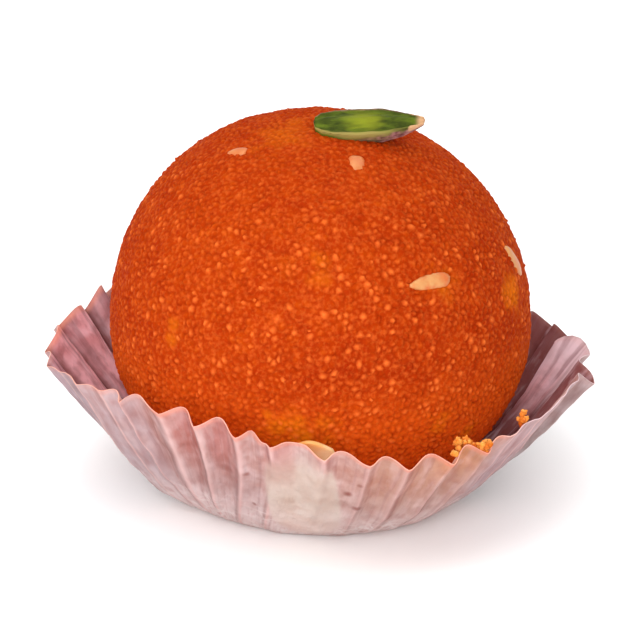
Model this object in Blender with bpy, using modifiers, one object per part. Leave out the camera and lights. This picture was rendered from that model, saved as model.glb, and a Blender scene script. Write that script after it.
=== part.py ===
"""Motichoor ladoo: a ball of fine fried gram pearls, in a fluted greaseproof paper case.

Four pieces: the ladoo with its almond chips, a half pistachio on top, a whole almond
flake standing between the ladoo and the front wall, and the paper case.
Origin at the centre of the case's underside, +Z up, the front toward -Y. Metres.
"""

import math
import random

import bmesh
import bpy
from mathutils import Matrix, Vector

MM = 0.001
GAP = 0.3 * MM  # kept between every two pieces
SEED = 41

# ---- driving dimensions ----------------------------------------------------------------
BALL_RADIUS = 25.0 * MM
BALL_CENTRE_Z = 21.5 * MM
BALL_TUCK = 1.2 * MM  # how much narrower the ladoo is where the paper holds it
BALL_TUCK_FROM = -0.15  # sine of the elevation where the tuck starts
BALL_TUCK_TO = -0.70  # sine of the elevation where it is full
BALL_SETTLE = 1.2 * MM  # rounding between the pressed foot and the side
BALL_SETTLE_DROP = 0.36 * MM  # sinks that rounding, so that the foot comes out flat
BULGE_TOWARD = Vector((-0.643, 0.287, 0.710))  # the ladoo is fullest up here
BULGE_HEIGHT = 0.6 * MM
BULGE_SPREAD = math.radians(34.0)

PEARLS_SEEN = 1310  # bumps on the part that stands clear of the paper
PEARLS_HELD = 150  # flatter, wider bumps where the ladoo is pressed into the paper
HELD_BELOW = -0.42  # sine of the elevation that divides the two
PEARL_JITTER = 0.24  # of the spacing
PEARL_RISE = 0.14 * MM
PEARL_SINK = 0.20 * MM
PEARL_UNEVEN = (0.6, 1.2)  # least and most of that rise or sink

PAPER = 0.4 * MM
FOOT_FLAT_RADIUS = 13.8 * MM
FOOT_RADIUS = 15.0 * MM
FOOT_LIFT = 0.35 * MM  # height of the bend between the floor and the wall
FOOT_LEAST = 0.3  # the flake presses the bend down no further than this share
WALL_SLANT = 23.7 * MM
WALL_ROWS = (0.10, 0.34, 0.67, 1.0)  # rings up the wall, as shares of the slant
FOLD_SHAPE = ((0.0, 1.0), (0.27, -0.55), (0.5, -1.0), (0.73, -0.55))  # place, reach
WALL_BELLY = (  # how far the wall swells out of straight, by azimuth in degrees
    (-180.0, 1.75), (20.0, 1.75), (57.0, 2.7), (84.0, 2.1), (110.0, 1.75), (180.0, 1.75),
)
WALL_BELLY_LOW = 0.65  # below 1, the swelling is fullest under half height
FOLD_REACH = 0.95 * MM  # half the depth of a flute at the rim
FOLD_FADE = 1.25  # flutes die away toward the foot by this power
BALL_CLEARANCE = 1.15 * MM  # from the ladoo's mean surface to the outside of the paper
CLEARANCE_ROUNDING = 0.5 * MM
MERGE = 0.02 * MM

# Outward folds, in degrees round from the front; positive runs to the left.
FOLDS_SHOWN = (
    52.0, 40.0, 30.0, 19.2, 10.1, 0.5, -10.6, -18.8, -28.0, -36.5,
    -45.0, -53.5, -62.0, -71.5, -81.5, -104.0, -113.0,
)
FOLDS_BEHIND = 22  # the rest, spread over what is left of the round
FOLD_WANDER = 0.14  # of the pitch
FOLD_UNEVEN = (0.75, 1.25)
FOLD_VALLEY_MOST = 1.3
WIDE_FOLDS = {-81.5: 1.6, -104.0: 1.6, 102.0: 1.7}  # opened pleats: times the usual reach
DEEP_VALLEY = (-92.7, 2.1)  # azimuth and reach of the one deep valley, between two of them

# Lean of the wall from upright, by azimuth in degrees.
LEAN = (
    (-180.0, 39.0), (-150.0, 42.0), (-122.0, 48.5), (-104.0, 47.0), (-81.0, 48.5),
    (-64.0, 47.0), (-46.0, 48.5), (-34.0, 49.0), (-22.0, 49.8), (-12.0, 47.8),
    (0.0, 44.6), (8.0, 42.3), (17.0, 39.6), (27.0, 37.6), (38.0, 36.8),
    (51.0, 38.2), (74.0, 43.0), (88.0, 47.0), (102.0, 51.0), (117.0, 48.5),
    (133.0, 46.0), (152.0, 43.0), (180.0, 39.0),
)

PISTACHIO_LENGTH = 13.3 * MM
PISTACHIO_WIDTH = 4.9 * MM
PISTACHIO_DEPTH = 2.7 * MM  # below the cut face
PISTACHIO_DOME = 0.9 * MM  # above it
PISTACHIO_SINK = 0.9 * MM  # how far its belly is pressed into the ladoo
PISTACHIO_TOWARD = Vector((0.215, -0.085, 0.973))  # where on the ladoo it lies
PISTACHIO_UP = Vector((0.075, -0.120, 0.990))  # its right end stands off the slope

FLAKE_LENGTH = 21.0 * MM
FLAKE_WIDTH = 9.8 * MM
FLAKE_THICKNESS = 0.9 * MM
FLAKE_BEVEL = 0.2 * MM
FLAKE_POINTS = 28
FLAKE_BLUNT = 0.35  # 0 gives an oval, 1 a rectangle
FLAKE_TAPER = 0.12  # narrower toward the foot
FLAKE_AZIMUTH = 5.8
FLAKE_LEAN = 40.3
FLAKE_REACH = 25.15 * MM  # from the ladoo's centre to the flake's middle plane
FLAKE_PRINT = (1.18, 1.5)  # pressed flat inside the first and not at all outside the second
FLAKE_ROUNDING = 0.3 * MM  # where the paper bends round the flake
FLAKE_PAPER_GAP = 0.48 * MM
FLAKE_UP = 6.2 * MM  # from the nearest point to the ladoo's centre to the flake's middle

# Almond chips held in the surface: elevation and azimuth in degrees, turn from level
# in degrees, then length, width and thickness in mm.
CHIPS = (
    (28.4, -35.6, -6.0, 4.7, 2.1, 1.3),
    (69.0, -29.0, 70.0, 2.7, 2.1, 1.1),
    (65.5, 75.0, -60.0, 2.2, 1.8, 1.0),
    (21.5, -80.0, -62.0, 4.6, 2.4, 1.2),
    (24.0, 118.0, 35.0, 4.8, 2.1, 1.2),
    (38.0, -148.0, -40.0, 5.2, 2.2, 1.3),
    (16.0, 165.0, 12.0, 3.6, 1.8, 1.1),
    (58.0, 160.0, -70.0, 3.2, 1.6, 1.1),
)
CHIP_SINK = 0.25 * MM  # how far a chip's middle lies below the mean surface


# ---- helpers -----------------------------------------------------------------------------
def clear_scene():
    """Remove whatever the file holds."""
    for thing in list(bpy.data.objects):
        bpy.data.objects.remove(thing, do_unlink=True)


def new_collection(name):
    """A collection linked to the scene."""
    group = bpy.data.collections.new(name)
    bpy.context.scene.collection.children.link(group)
    return group


def new_object(name, bm, group):
    """Put a finished bmesh into a named object."""
    mesh = bpy.data.meshes.new(name)
    bm.to_mesh(mesh)
    bm.free()
    thing = bpy.data.objects.new(name, mesh)
    group.objects.link(thing)
    return thing


def new_material(name, colour, roughness):
    """A non-metallic Principled material."""
    material = bpy.data.materials.new(name)
    material.use_nodes = True
    shader = material.node_tree.nodes["Principled BSDF"]
    shader.inputs["Base Color"].default_value = (*colour, 1.0)
    shader.inputs["Roughness"].default_value = roughness
    shader.inputs["Metallic"].default_value = 0.0
    return material


def smooth_step(low, high, value):
    """0 below low, 1 above high, eased between."""
    share = min(1.0, max(0.0, (value - low) / (high - low)))
    return share * share * (3.0 - 2.0 * share)


def at_least(value, floor, rounding):
    """The larger of value and floor, with the corner between them rounded."""
    excess = value - floor
    return floor + 0.5 * (excess + math.sqrt(excess * excess + rounding * rounding))


def between(keys, place):
    """Eased reading of a table of (place, value) pairs."""
    for (start, low), (end, high) in zip(keys, keys[1:]):
        if place <= end:
            return low + (high - low) * smooth_step(start, end, place)
    return keys[-1][1]


def heading(azimuth, elevation=0.0):
    """Unit vector; azimuth 0 is the front and positive runs to the left."""
    flat = math.cos(elevation)
    return Vector(
        (-math.sin(azimuth) * flat, -math.cos(azimuth) * flat, math.sin(elevation))
    )


# ---- the ladoo ---------------------------------------------------------------------------
def ball_radius(direction):
    """Distance from the ladoo's centre to its mean surface."""
    away = direction.angle(BULGE_TOWARD)
    bulge = BULGE_HEIGHT * math.exp(-((away / BULGE_SPREAD) ** 2))
    tuck = BALL_TUCK * smooth_step(-BALL_TUCK_FROM, -BALL_TUCK_TO, -direction.z)
    return BALL_RADIUS + bulge - tuck


def ball_point(direction, raised=0.0):
    """A point of the ladoo, its foot pressed flat onto the paper."""
    point = direction * (ball_radius(direction) + raised)
    point.z += BALL_CENTRE_Z
    foot = PAPER + GAP
    point.z = max(foot, at_least(point.z, foot - BALL_SETTLE_DROP, BALL_SETTLE))
    return point


def pearl_sites(rng):
    """Directions of the pearls: two even spirals, one above the other."""
    golden = math.pi * (3.0 - math.sqrt(5.0))
    sites = []
    turn = 0
    for count, top, bottom in (
        (PEARLS_SEEN, 1.0, HELD_BELOW),
        (PEARLS_HELD, HELD_BELOW, -1.0),
    ):
        spacing = math.sqrt(2.0 * math.pi * (top - bottom) / count)
        for i in range(count):
            height = top + (bottom - top) * (i + 0.5) / count
            flat = math.sqrt(1.0 - height * height)
            site = Vector((flat * math.cos(golden * turn), flat * math.sin(golden * turn), height))
            nudge = Vector([rng.uniform(-1.0, 1.0) for _ in range(3)])
            sites.append((site + nudge * spacing * PEARL_JITTER).normalized())
            turn += 1
    return sites


def pearl_ball(rng):
    """A closed ball with one bump for every pearl.

    The hull round the pearls' places is their net of neighbours. Poking its
    faces and turning its edges gives each pearl a ring of hollows round it.
    """
    bm = bmesh.new()
    for site in pearl_sites(rng):
        bm.verts.new(site)
    bmesh.ops.convex_hull(bm, input=bm.verts[:])
    tops = set(bm.verts)
    spokes = bm.edges[:]
    bmesh.ops.poke(bm, faces=bm.faces[:])
    bmesh.ops.rotate_edges(bm, edges=spokes, use_ccw=False)
    for vert in bm.verts:
        direction = vert.co.normalized()
        relief = PEARL_RISE if vert in tops else -PEARL_SINK
        vert.co = ball_point(direction, relief * rng.uniform(*PEARL_UNEVEN))
    bmesh.ops.recalc_face_normals(bm, faces=bm.faces[:])
    return bm


def chip_object(index, chip, group):
    """One almond chip lying in the surface: a low, blunt slip."""
    elevation, azimuth, turn, length, width, thickness = chip
    bm = bmesh.new()
    bmesh.ops.create_uvsphere(bm, u_segments=10, v_segments=5, radius=0.5)
    outward = heading(math.radians(azimuth), math.radians(elevation))
    seat = ball_point(outward, -CHIP_SINK)
    level = Vector((0.0, 0.0, 1.0)).cross(outward).normalized()
    frame = Matrix((level, outward.cross(level), outward)).transposed().to_4x4()
    place = (
        Matrix.Translation(seat)
        @ frame
        @ Matrix.Rotation(math.radians(turn), 4, "Z")
        @ Matrix.Diagonal((length * MM, width * MM, thickness * MM, 1.0))
    )
    bmesh.ops.transform(bm, matrix=place, verts=bm.verts[:])
    return new_object(f"chip_{index}", bm, group)


def apply_modifier(thing, modifier):
    """Bake one modifier into the mesh."""
    with bpy.context.temp_override(object=thing, active_object=thing):
        bpy.ops.object.modifier_apply(modifier=modifier.name)


def build_ladoo(group, rng, pocket):
    """The ladoo, with its chips joined on and a pocket pressed for the pistachio."""
    ladoo = new_object("ladoo", pearl_ball(rng), group)
    chips = new_collection("almond_chips")
    for index, chip in enumerate(CHIPS):
        chip_object(index, chip, chips)
    join = ladoo.modifiers.new("chips", "BOOLEAN")
    join.operation = "UNION"
    join.operand_type = "COLLECTION"
    join.collection = chips
    join.solver = "EXACT"
    apply_modifier(ladoo, join)
    for chip in list(chips.objects):
        bpy.data.objects.remove(chip, do_unlink=True)
    bpy.data.collections.remove(chips)
    press = ladoo.modifiers.new("pocket", "BOOLEAN")
    press.operation = "DIFFERENCE"
    press.object = pocket
    press.solver = "EXACT"
    ladoo.data.materials.append(new_material("pearls", (0.61, 0.10, 0.012), 0.38))
    return ladoo


# ---- the half pistachio ------------------------------------------------------------------
def pistachio_mesh(grow):
    """A boat with a slightly domed cut face, one end finer than the other."""
    bm = bmesh.new()
    bmesh.ops.create_uvsphere(bm, u_segments=22, v_segments=10, radius=1.0)
    for vert in bm.verts:
        along, across, up = vert.co
        taper = 1.0 - 0.16 * along * along * math.copysign(1.0, along)
        swell = PISTACHIO_DOME if up > 0.0 else PISTACHIO_DEPTH
        vert.co = Vector(
            (
                along * (0.5 * PISTACHIO_LENGTH + grow),
                across * taper * (0.5 * PISTACHIO_WIDTH + grow),
                up * (swell + grow),
            )
        )
    return bm


def pistachio_place():
    """Where the kernel lies: along X, tipped to the ladoo's slope."""
    up = PISTACHIO_UP.normalized()
    across = up.cross(Vector((1.0, 0.0, 0.0))).normalized()
    frame = Matrix((across.cross(up), across, up)).transposed().to_4x4()
    seat = ball_point(PISTACHIO_TOWARD.normalized(), PISTACHIO_DEPTH - PISTACHIO_SINK)
    return Matrix.Translation(seat) @ frame


def build_pistachio(group):
    """The kernel as a piece of its own."""
    kernel = new_object("pistachio", pistachio_mesh(0.0), group)
    kernel.matrix_world = pistachio_place()
    kernel.data.materials.append(new_material("kernel", (0.22, 0.31, 0.035), 0.45))
    return kernel


def build_pocket(group):
    """The kernel grown by the gap, which cuts its seat in the ladoo."""
    pocket = new_object("pistachio_pocket", pistachio_mesh(GAP), group)
    pocket.matrix_world = pistachio_place()
    pocket.hide_render = True
    pocket.display_type = "WIRE"
    return pocket


# ---- the almond flake --------------------------------------------------------------------
def flake_place():
    """Frame of the flake: X across, Y up the wall, Z outward through the paper."""
    azimuth = math.radians(FLAKE_AZIMUTH)
    lean = math.radians(FLAKE_LEAN)
    outward = heading(azimuth, -lean)
    up = heading(azimuth, math.pi / 2.0 - lean)
    across = up.cross(outward)
    middle = Vector((0.0, 0.0, BALL_CENTRE_Z)) + outward * FLAKE_REACH + up * FLAKE_UP
    frame = Matrix((across, up, outward)).transposed().to_4x4()
    return Matrix.Translation(middle) @ frame


def build_flake(group):
    """A sliced almond: a drop-shaped slip with softened edges."""
    bm = bmesh.new()
    bmesh.ops.create_circle(bm, cap_ends=True, segments=FLAKE_POINTS, radius=1.0)
    for vert in bm.verts:
        blunt = max(abs(vert.co.x), abs(vert.co.y)) ** FLAKE_BLUNT
        narrow = 1.0 + FLAKE_TAPER * vert.co.y
        vert.co.x *= 0.5 * FLAKE_WIDTH * narrow / blunt
        vert.co.y *= 0.5 * FLAKE_LENGTH / blunt
        vert.co.z = -0.5 * FLAKE_THICKNESS
    side = bmesh.ops.extrude_face_region(bm, geom=bm.faces[:])
    lifted = [item for item in side["geom"] if isinstance(item, bmesh.types.BMVert)]
    bmesh.ops.translate(bm, vec=(0.0, 0.0, FLAKE_THICKNESS), verts=lifted)
    bmesh.ops.recalc_face_normals(bm, faces=bm.faces[:])
    flake = new_object("almond_flake", bm, group)
    flake.matrix_world = flake_place()
    soften = flake.modifiers.new("soft_edge", "BEVEL")
    soften.width = FLAKE_BEVEL
    soften.segments = 1
    soften.limit_method = "ANGLE"
    soften.angle_limit = math.radians(50.0)
    flake.data.materials.append(new_material("almond", (0.75, 0.64, 0.45), 0.5))
    return flake


# ---- the paper case ----------------------------------------------------------------------
def fold_list(rng):
    """All outward folds as (azimuth, reach), in order round the case."""
    first = max(FOLDS_SHOWN)
    last = min(FOLDS_SHOWN) + 360.0
    pitch = (last - first) / (FOLDS_BEHIND + 1)
    folds = [(azimuth, WIDE_FOLDS.get(azimuth, 1.0)) for azimuth in FOLDS_SHOWN]
    for i in range(FOLDS_BEHIND):
        azimuth = first + pitch * (i + 1 + rng.uniform(-FOLD_WANDER, FOLD_WANDER))
        reach = rng.uniform(*FOLD_UNEVEN)
        for wide, wide_reach in WIDE_FOLDS.items():
            if abs(azimuth - wide) < 0.5 * pitch:
                reach = wide_reach
        folds.append((azimuth - 360.0 if azimuth > 180.0 else azimuth, reach))
    return sorted(folds)


def fold_columns(folds):
    """Azimuth and outward reach of every column of the wall."""
    columns = []
    for i, (start, reach) in enumerate(folds):
        end, next_reach = folds[(i + 1) % len(folds)]
        if end <= start:
            end += 360.0
        valley = 0.5 * (min(reach, FOLD_VALLEY_MOST) + min(next_reach, FOLD_VALLEY_MOST))
        if start < DEEP_VALLEY[0] < end:
            valley = DEEP_VALLEY[1]
        for place, shape in FOLD_SHAPE:
            azimuth = start + (end - start) * place
            out = shape * (reach if shape > 0.0 else valley)
            columns.append((azimuth, out))
    return columns


def clear_of_ladoo(point):
    """Push a point of the paper outward until the ladoo fits inside it."""
    centre = Vector((0.0, 0.0, BALL_CENTRE_Z))
    away = point - centre
    direction = away.normalized()
    reach = at_least(away.length, ball_radius(direction) + BALL_CLEARANCE, CLEARANCE_ROUNDING)
    return centre + direction * reach


def clear_of_flake(point):
    """Push a point of the paper outward over the almond flake behind it."""
    frame = flake_place()
    local = frame.inverted() @ point
    side = abs(local.x) / (0.5 * FLAKE_WIDTH)
    end = abs(local.y) / (0.5 * FLAKE_LENGTH)
    over = 1.0 - smooth_step(*FLAKE_PRINT, (side**3 + end**3) ** (1.0 / 3.0))
    face = 0.5 * FLAKE_THICKNESS + FLAKE_PAPER_GAP + PAPER
    flat = at_least(local.z, face, FLAKE_ROUNDING)
    local.z += (flat - local.z) * over
    return frame @ local


def wall_point(azimuth, share, out):
    """A point of the case's outer face: share 0 at the foot, 1 at the rim."""
    turned = (azimuth + 180.0) % 360.0 - 180.0
    lean = math.radians(between(LEAN, turned))
    round_z = heading(math.radians(azimuth))
    slant = WALL_SLANT * share
    along = round_z * math.sin(lean) + Vector((0.0, 0.0, math.cos(lean)))
    outward = round_z * math.cos(lean) - Vector((0.0, 0.0, math.sin(lean)))
    point = round_z * FOOT_RADIUS + along * slant
    belly = MM * between(WALL_BELLY, turned) * math.sin(math.pi * share**WALL_BELLY_LOW)
    point += outward * (belly + out * FOLD_REACH * share**FOLD_FADE)
    return clear_of_flake(clear_of_ladoo(point))


def foot_point(azimuth, radius, height):
    """A point of the floor or of the bend round it."""
    point = heading(math.radians(azimuth)) * radius + Vector((0.0, 0.0, height))
    if height > 0.0:
        point = clear_of_flake(point)
        point.z = max(point.z, FOOT_LEAST * height)
    return point


def build_case(group, rng):
    """The case: a lathed cup pressed into flutes, then given its thickness."""
    columns = fold_columns(fold_list(rng))
    count = len(columns)
    profile = [(0.0, 0.0), (FOOT_FLAT_RADIUS, 0.0), (FOOT_RADIUS, FOOT_LIFT)]
    profile += [(FOOT_RADIUS + WALL_SLANT * share, WALL_SLANT * share) for share in WALL_ROWS]
    bm = bmesh.new()
    verts = [bm.verts.new((radius, 0.0, height)) for radius, height in profile]
    edges = [bm.edges.new(pair) for pair in zip(verts, verts[1:])]
    bmesh.ops.spin(
        bm,
        geom=verts + edges,
        cent=(0.0, 0.0, 0.0),
        axis=(0.0, 0.0, 1.0),
        angle=2.0 * math.pi,
        steps=count,
        use_merge=True,
        use_duplicate=False,
    )
    bmesh.ops.remove_doubles(bm, verts=bm.verts[:], dist=MERGE)
    for vert in bm.verts:
        radius = math.hypot(vert.co.x, vert.co.y)
        if radius < MERGE:
            continue
        turn = math.atan2(vert.co.y, vert.co.x) / (2.0 * math.pi)
        azimuth, out = columns[round(turn * count) % count]
        share = (radius - FOOT_RADIUS) / WALL_SLANT
        if share > 0.5 * WALL_ROWS[0]:
            vert.co = wall_point(azimuth, share, out)
        else:
            vert.co = foot_point(azimuth, radius, vert.co.z)
    bmesh.ops.recalc_face_normals(bm, faces=bm.faces[:])
    case = new_object("paper_case", bm, group)
    thicken = case.modifiers.new("thickness", "SOLIDIFY")
    thicken.thickness = PAPER
    thicken.offset = -1.0
    thicken.use_even_offset = True
    case.data.materials.append(new_material("paper", (0.72, 0.58, 0.60), 0.6))
    return case


# ---- assembly ----------------------------------------------------------------------------
def build():
    """Make every piece."""
    clear_scene()
    pieces = new_collection("motichoor_ladoo")
    cutters = new_collection("cutters")
    rng = random.Random(SEED)
    pocket = build_pocket(cutters)
    build_ladoo(pieces, rng, pocket)
    build_pistachio(pieces)
    build_flake(pieces)
    build_case(pieces, rng)


build()
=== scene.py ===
# %% [markdown]
# # A motichoor ladoo in its paper case
#
# A motichoor ladoo is thousands of tiny fried gram pearls, soaked in orange syrup and
# pressed into a ball. This one sits in a fluted greaseproof paper case, with half a
# pistachio on top and almond slips in its surface. The solids come ready from the frame;
# here each of them gets a real surface, piece by piece.

# %% Load the frame
import math
import random
from collections import namedtuple

import bmesh
import bpy
from mathutils import Matrix, Vector, noise


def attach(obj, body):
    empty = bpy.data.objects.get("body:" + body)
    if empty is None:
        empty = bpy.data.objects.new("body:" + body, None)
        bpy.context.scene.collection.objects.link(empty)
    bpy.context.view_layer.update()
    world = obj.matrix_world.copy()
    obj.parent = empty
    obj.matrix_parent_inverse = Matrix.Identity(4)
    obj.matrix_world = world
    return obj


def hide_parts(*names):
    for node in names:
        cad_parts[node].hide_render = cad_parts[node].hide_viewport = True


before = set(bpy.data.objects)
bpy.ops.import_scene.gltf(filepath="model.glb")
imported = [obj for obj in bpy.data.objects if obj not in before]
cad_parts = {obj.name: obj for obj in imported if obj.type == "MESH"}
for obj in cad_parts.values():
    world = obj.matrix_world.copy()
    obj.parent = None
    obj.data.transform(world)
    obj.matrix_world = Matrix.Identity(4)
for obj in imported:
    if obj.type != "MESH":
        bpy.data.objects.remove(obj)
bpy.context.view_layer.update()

MM = 0.001
TINY = 1e-6  # nothing is divided by less
UP = Vector((0.0, 0.0, 1.0))
print("nodes:", sorted(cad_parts))

# %% [markdown]
# ## The camera
#
# The photograph looks down on the sweet at about 22 degrees, from the front, through a
# long lens. A long lens far away keeps the ball round and the near rim of the case from
# swelling. The lens is worked out from the width that should fill the picture.

# %% Camera
CAMERA_ELEVATION = math.radians(22.0)
CAMERA_DISTANCE = 2.2
CAMERA_TARGET = Vector((-0.0001, 0.0, 0.0226))
SENSOR = 36.0  # mm, Blender's usual width
WIDTH_SHOWN = 0.0765  # metres across the picture at the target
NEAREST_SEEN = 0.05  # metres in front of the lens


def look_from(spot, target):
    """Turn that points something's own -Z at a target."""
    return (target - spot).to_track_quat("-Z", "Y")


toward_camera = Vector((0.0, -math.cos(CAMERA_ELEVATION), math.sin(CAMERA_ELEVATION)))
lens = bpy.data.cameras.new("camera")
lens.sensor_width = SENSOR
lens.lens = SENSOR * CAMERA_DISTANCE / WIDTH_SHOWN
lens.clip_start = NEAREST_SEEN
camera = bpy.data.objects.new("camera", lens)
camera.location = CAMERA_TARGET + toward_camera * CAMERA_DISTANCE
camera.rotation_mode = "QUATERNION"
camera.rotation_quaternion = look_from(camera.location, CAMERA_TARGET)
bpy.context.scene.collection.objects.link(camera)
bpy.context.scene.camera = camera
print("lens, mm:", round(lens.lens, 1))

# %% [markdown]
# ## Light
#
# The picture is a bright studio shot on white: a soft light high on the left, a stronger
# one low in front that fills the paper's folds, a weak one behind, and so much white all
# round that the shadows stay pale. The Standard view keeps the strong orange; a filmic
# view would wash it toward yellow.

# %% Lights and world
bpy.context.scene.view_settings.view_transform = "Standard"
bpy.context.scene.view_settings.look = "None"
WORLD_STRENGTH = 0.96
KEY = {"azimuth": 50.0, "elevation": 66.0, "distance": 0.90, "size": 0.80, "power": 3.5}
FRONT = {"azimuth": 10.0, "elevation": 16.0, "distance": 0.90, "size": 0.60, "power": 6.4}
BACK = {"azimuth": -150.0, "elevation": 60.0, "distance": 0.90, "size": 0.80, "power": 1.5}


def heading(azimuth, elevation=0.0):
    """Unit vector; azimuth 0 is the front and positive runs to the left."""
    flat = math.cos(elevation)
    return Vector((-math.sin(azimuth) * flat, -math.cos(azimuth) * flat, math.sin(elevation)))


def soft_light(name, azimuth, elevation, distance, size, power):
    """A square soft box aimed at the middle of the sweet."""
    box = bpy.data.lights.new(name, "AREA")
    box.size = size
    box.energy = power
    lamp = bpy.data.objects.new(name, box)
    lamp.location = CAMERA_TARGET + heading(math.radians(azimuth), math.radians(elevation)) * distance
    lamp.rotation_mode = "QUATERNION"
    lamp.rotation_quaternion = look_from(lamp.location, CAMERA_TARGET)
    bpy.context.scene.collection.objects.link(lamp)
    return lamp


soft_light("key_light", **KEY)
soft_light("front_light", **FRONT)
soft_light("back_light", **BACK)

world = bpy.data.worlds.new("white_room")
world.use_nodes = True
background = world.node_tree.nodes["Background"]
background.inputs["Color"].default_value = (1.0, 1.0, 1.0, 1.0)
background.inputs["Strength"].default_value = WORLD_STRENGTH
bpy.context.scene.world = world

# %% [markdown]
# ## The floor, and how a piece is made
#
# The sweet stands on plain white, so the floor is one square, wider than the camera sees.
# It lies a hair below the paper, so that the two don't share a plane. Every piece goes
# into the scene and gets its finish the same way, so that is written once, here. Colours
# are given as a picture shows them, 0 to 255, and turned into Blender's linear light.

# %% Floor
FLOOR_SIZE = 3.0
FLOOR_DROP = 0.02 * MM
FLOOR_SURFACE = {"Base Color": (0.98, 0.98, 0.98, 1.0), "Roughness": 0.8}


def new_object(name, bm, smooth=True):
    """Put a finished bmesh into the scene."""
    mesh = bpy.data.meshes.new(name)
    bm.to_mesh(mesh)
    bm.free()
    thing = bpy.data.objects.new(name, mesh)
    bpy.context.scene.collection.objects.link(thing)
    if smooth:
        mesh.polygons.foreach_set("use_smooth", [True] * len(mesh.polygons))
    return thing


def new_material(name):
    """A material with its Principled shader, node list and a linking function."""
    material = bpy.data.materials.new(name)
    material.use_nodes = True
    nodes = material.node_tree.nodes
    return material, nodes, material.node_tree.links.new, nodes["Principled BSDF"]


def set_inputs(shader, surface):
    """Set what is the same all over a surface on the shader's own sockets."""
    for socket, value in surface.items():
        shader.inputs[socket].default_value = value


def srgb(red, green, blue):
    """A colour as a picture shows it, 0 to 255, in Blender's linear values."""
    return tuple(
        c / 12.92 if c <= 0.04045 else ((c + 0.055) / 1.055) ** 2.4
        for c in (red / 255.0, green / 255.0, blue / 255.0)
    ) + (1.0,)


floor_bm = bmesh.new()
bmesh.ops.create_grid(floor_bm, x_segments=1, y_segments=1, size=0.5 * FLOOR_SIZE)
floor = new_object("floor", floor_bm, smooth=False)
floor.location.z = -FLOOR_DROP
floor_paint, _, _, floor_shader = new_material("white_floor")
set_inputs(floor_shader, FLOOR_SURFACE)
floor.data.materials.append(floor_paint)
print("floor, m:", FLOOR_SIZE)

# %% [markdown]
# ## The ball's own shape
#
# Rolled by hand, the ladoo isn't a true ball: it is fullest high on the left, a little
# narrower where the paper holds it, and pressed flat where it sits. Everything that lies
# on the ladoo asks these two functions where its surface is.

# %% Shape of the ladoo
BALL_RADIUS = 25.0 * MM
BALL_CENTRE = Vector((0.0, 0.0, 21.5 * MM))
BALL_TUCK = 1.2 * MM  # how much the paper narrows it
BALL_TUCK_FROM, BALL_TUCK_TO = 0.15, 0.70  # where that starts and ends, as a share of the way down
BALL_FOOT = 0.7 * MM  # height of the flat it sits on
BALL_SETTLE = 1.2 * MM  # how gently the side runs into that flat
BALL_SETTLE_DROP = 0.36 * MM
BULGE_TOWARD = Vector((-0.643, 0.287, 0.710))
BULGE_HEIGHT = 0.6 * MM
BULGE_SPREAD = math.radians(34.0)


def smooth_step(low, high, value):
    """0 at low, 1 at high, eased between and level beyond; high may be the smaller."""
    share = min(1.0, max(0.0, (value - low) / (high - low)))
    return share * share * (3.0 - 2.0 * share)


def at_least(value, least, rounding):
    """The larger of two values, with the corner between them rounded."""
    excess = value - least
    return least + 0.5 * (excess + math.sqrt(excess * excess + rounding * rounding))


def ball_radius(direction):
    """Distance from the ladoo's centre to its mean surface."""
    away = direction.angle(BULGE_TOWARD)
    bulge = BULGE_HEIGHT * math.exp(-((away / BULGE_SPREAD) ** 2))
    return BALL_RADIUS + bulge - BALL_TUCK * smooth_step(BALL_TUCK_FROM, BALL_TUCK_TO, -direction.z)


def ball_point(direction, raised=0.0):
    """A point on the ladoo, or raised from it."""
    point = BALL_CENTRE + direction * (ball_radius(direction) + raised)
    point.z = max(BALL_FOOT, at_least(point.z, BALL_FOOT - BALL_SETTLE_DROP, BALL_SETTLE))
    return point


print("top of the ladoo, mm:", round(ball_point(UP).z / MM, 2))

# %% [markdown]
# ## The pearls
#
# The pearls are about a millimetre across, so close that each is squeezed into a little
# dome with creases round it. Instancing eight thousand balls would leave gaps and hidden
# faces. Here they are one closed skin, and it starts with a point for every pearl. Two
# spirals spread the points evenly on a ball, a random nudge breaks the pattern, and then
# each pearl pushes its neighbours off a little, as they do under the hand.

# %% Where the pearls are
from mathutils.kdtree import KDTree

PEARLS_SEEN = 7900
PEARLS_HELD = 340  # wider ones, low down inside the case
HELD_BELOW = -0.55
PEARL_SCATTER = 0.55
PEARL_SIZES = (0.72, 1.28)
SETTLING_ROUNDS = 4
SETTLED = 0.94  # how close two pearls may stay, as a share of their mean width
CROWD_REACH = 1.3  # how far off a neighbour is looked for, in widths
rng = random.Random(2207)


def spiral_sites():
    """Scattered directions on two even spirals, one above the other, each with its own width."""
    golden = math.pi * (3.0 - math.sqrt(5.0))
    sites = []
    for count, top, bottom in ((PEARLS_SEEN, 1.0, HELD_BELOW), (PEARLS_HELD, HELD_BELOW, -1.0)):
        spacing = math.sqrt(2.0 * math.pi * (top - bottom) / count)
        for i in range(count):
            height = top + (bottom - top) * (i + 0.5) / count
            flat = math.sqrt(1.0 - height * height)
            turn = golden * len(sites)
            site = Vector((flat * math.cos(turn), flat * math.sin(turn), height))
            nudge = Vector([rng.uniform(-1.0, 1.0) for _ in range(3)])
            width = spacing * rng.uniform(*PEARL_SIZES)
            sites.append(((site + nudge * spacing * PEARL_SCATTER).normalized(), width))
    return sites


def settle(sites):
    """Let every pearl push the ones that crowd it a little way off."""
    for _ in range(SETTLING_ROUNDS):
        tree = KDTree(len(sites))
        for i, (site, _) in enumerate(sites):
            tree.insert(site, i)
        tree.balance()
        moved = []
        for i, (site, width) in enumerate(sites):
            push = Vector()
            for near, j, distance in tree.find_range(site, CROWD_REACH * width):
                room = SETTLED * 0.5 * (width + sites[j][1])
                if j != i and 0.0 < distance < room:
                    push += (site - near) * (0.5 * (room - distance) / distance)
            moved.append(((site + push).normalized(), width))
        sites = moved
    return sites


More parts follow.
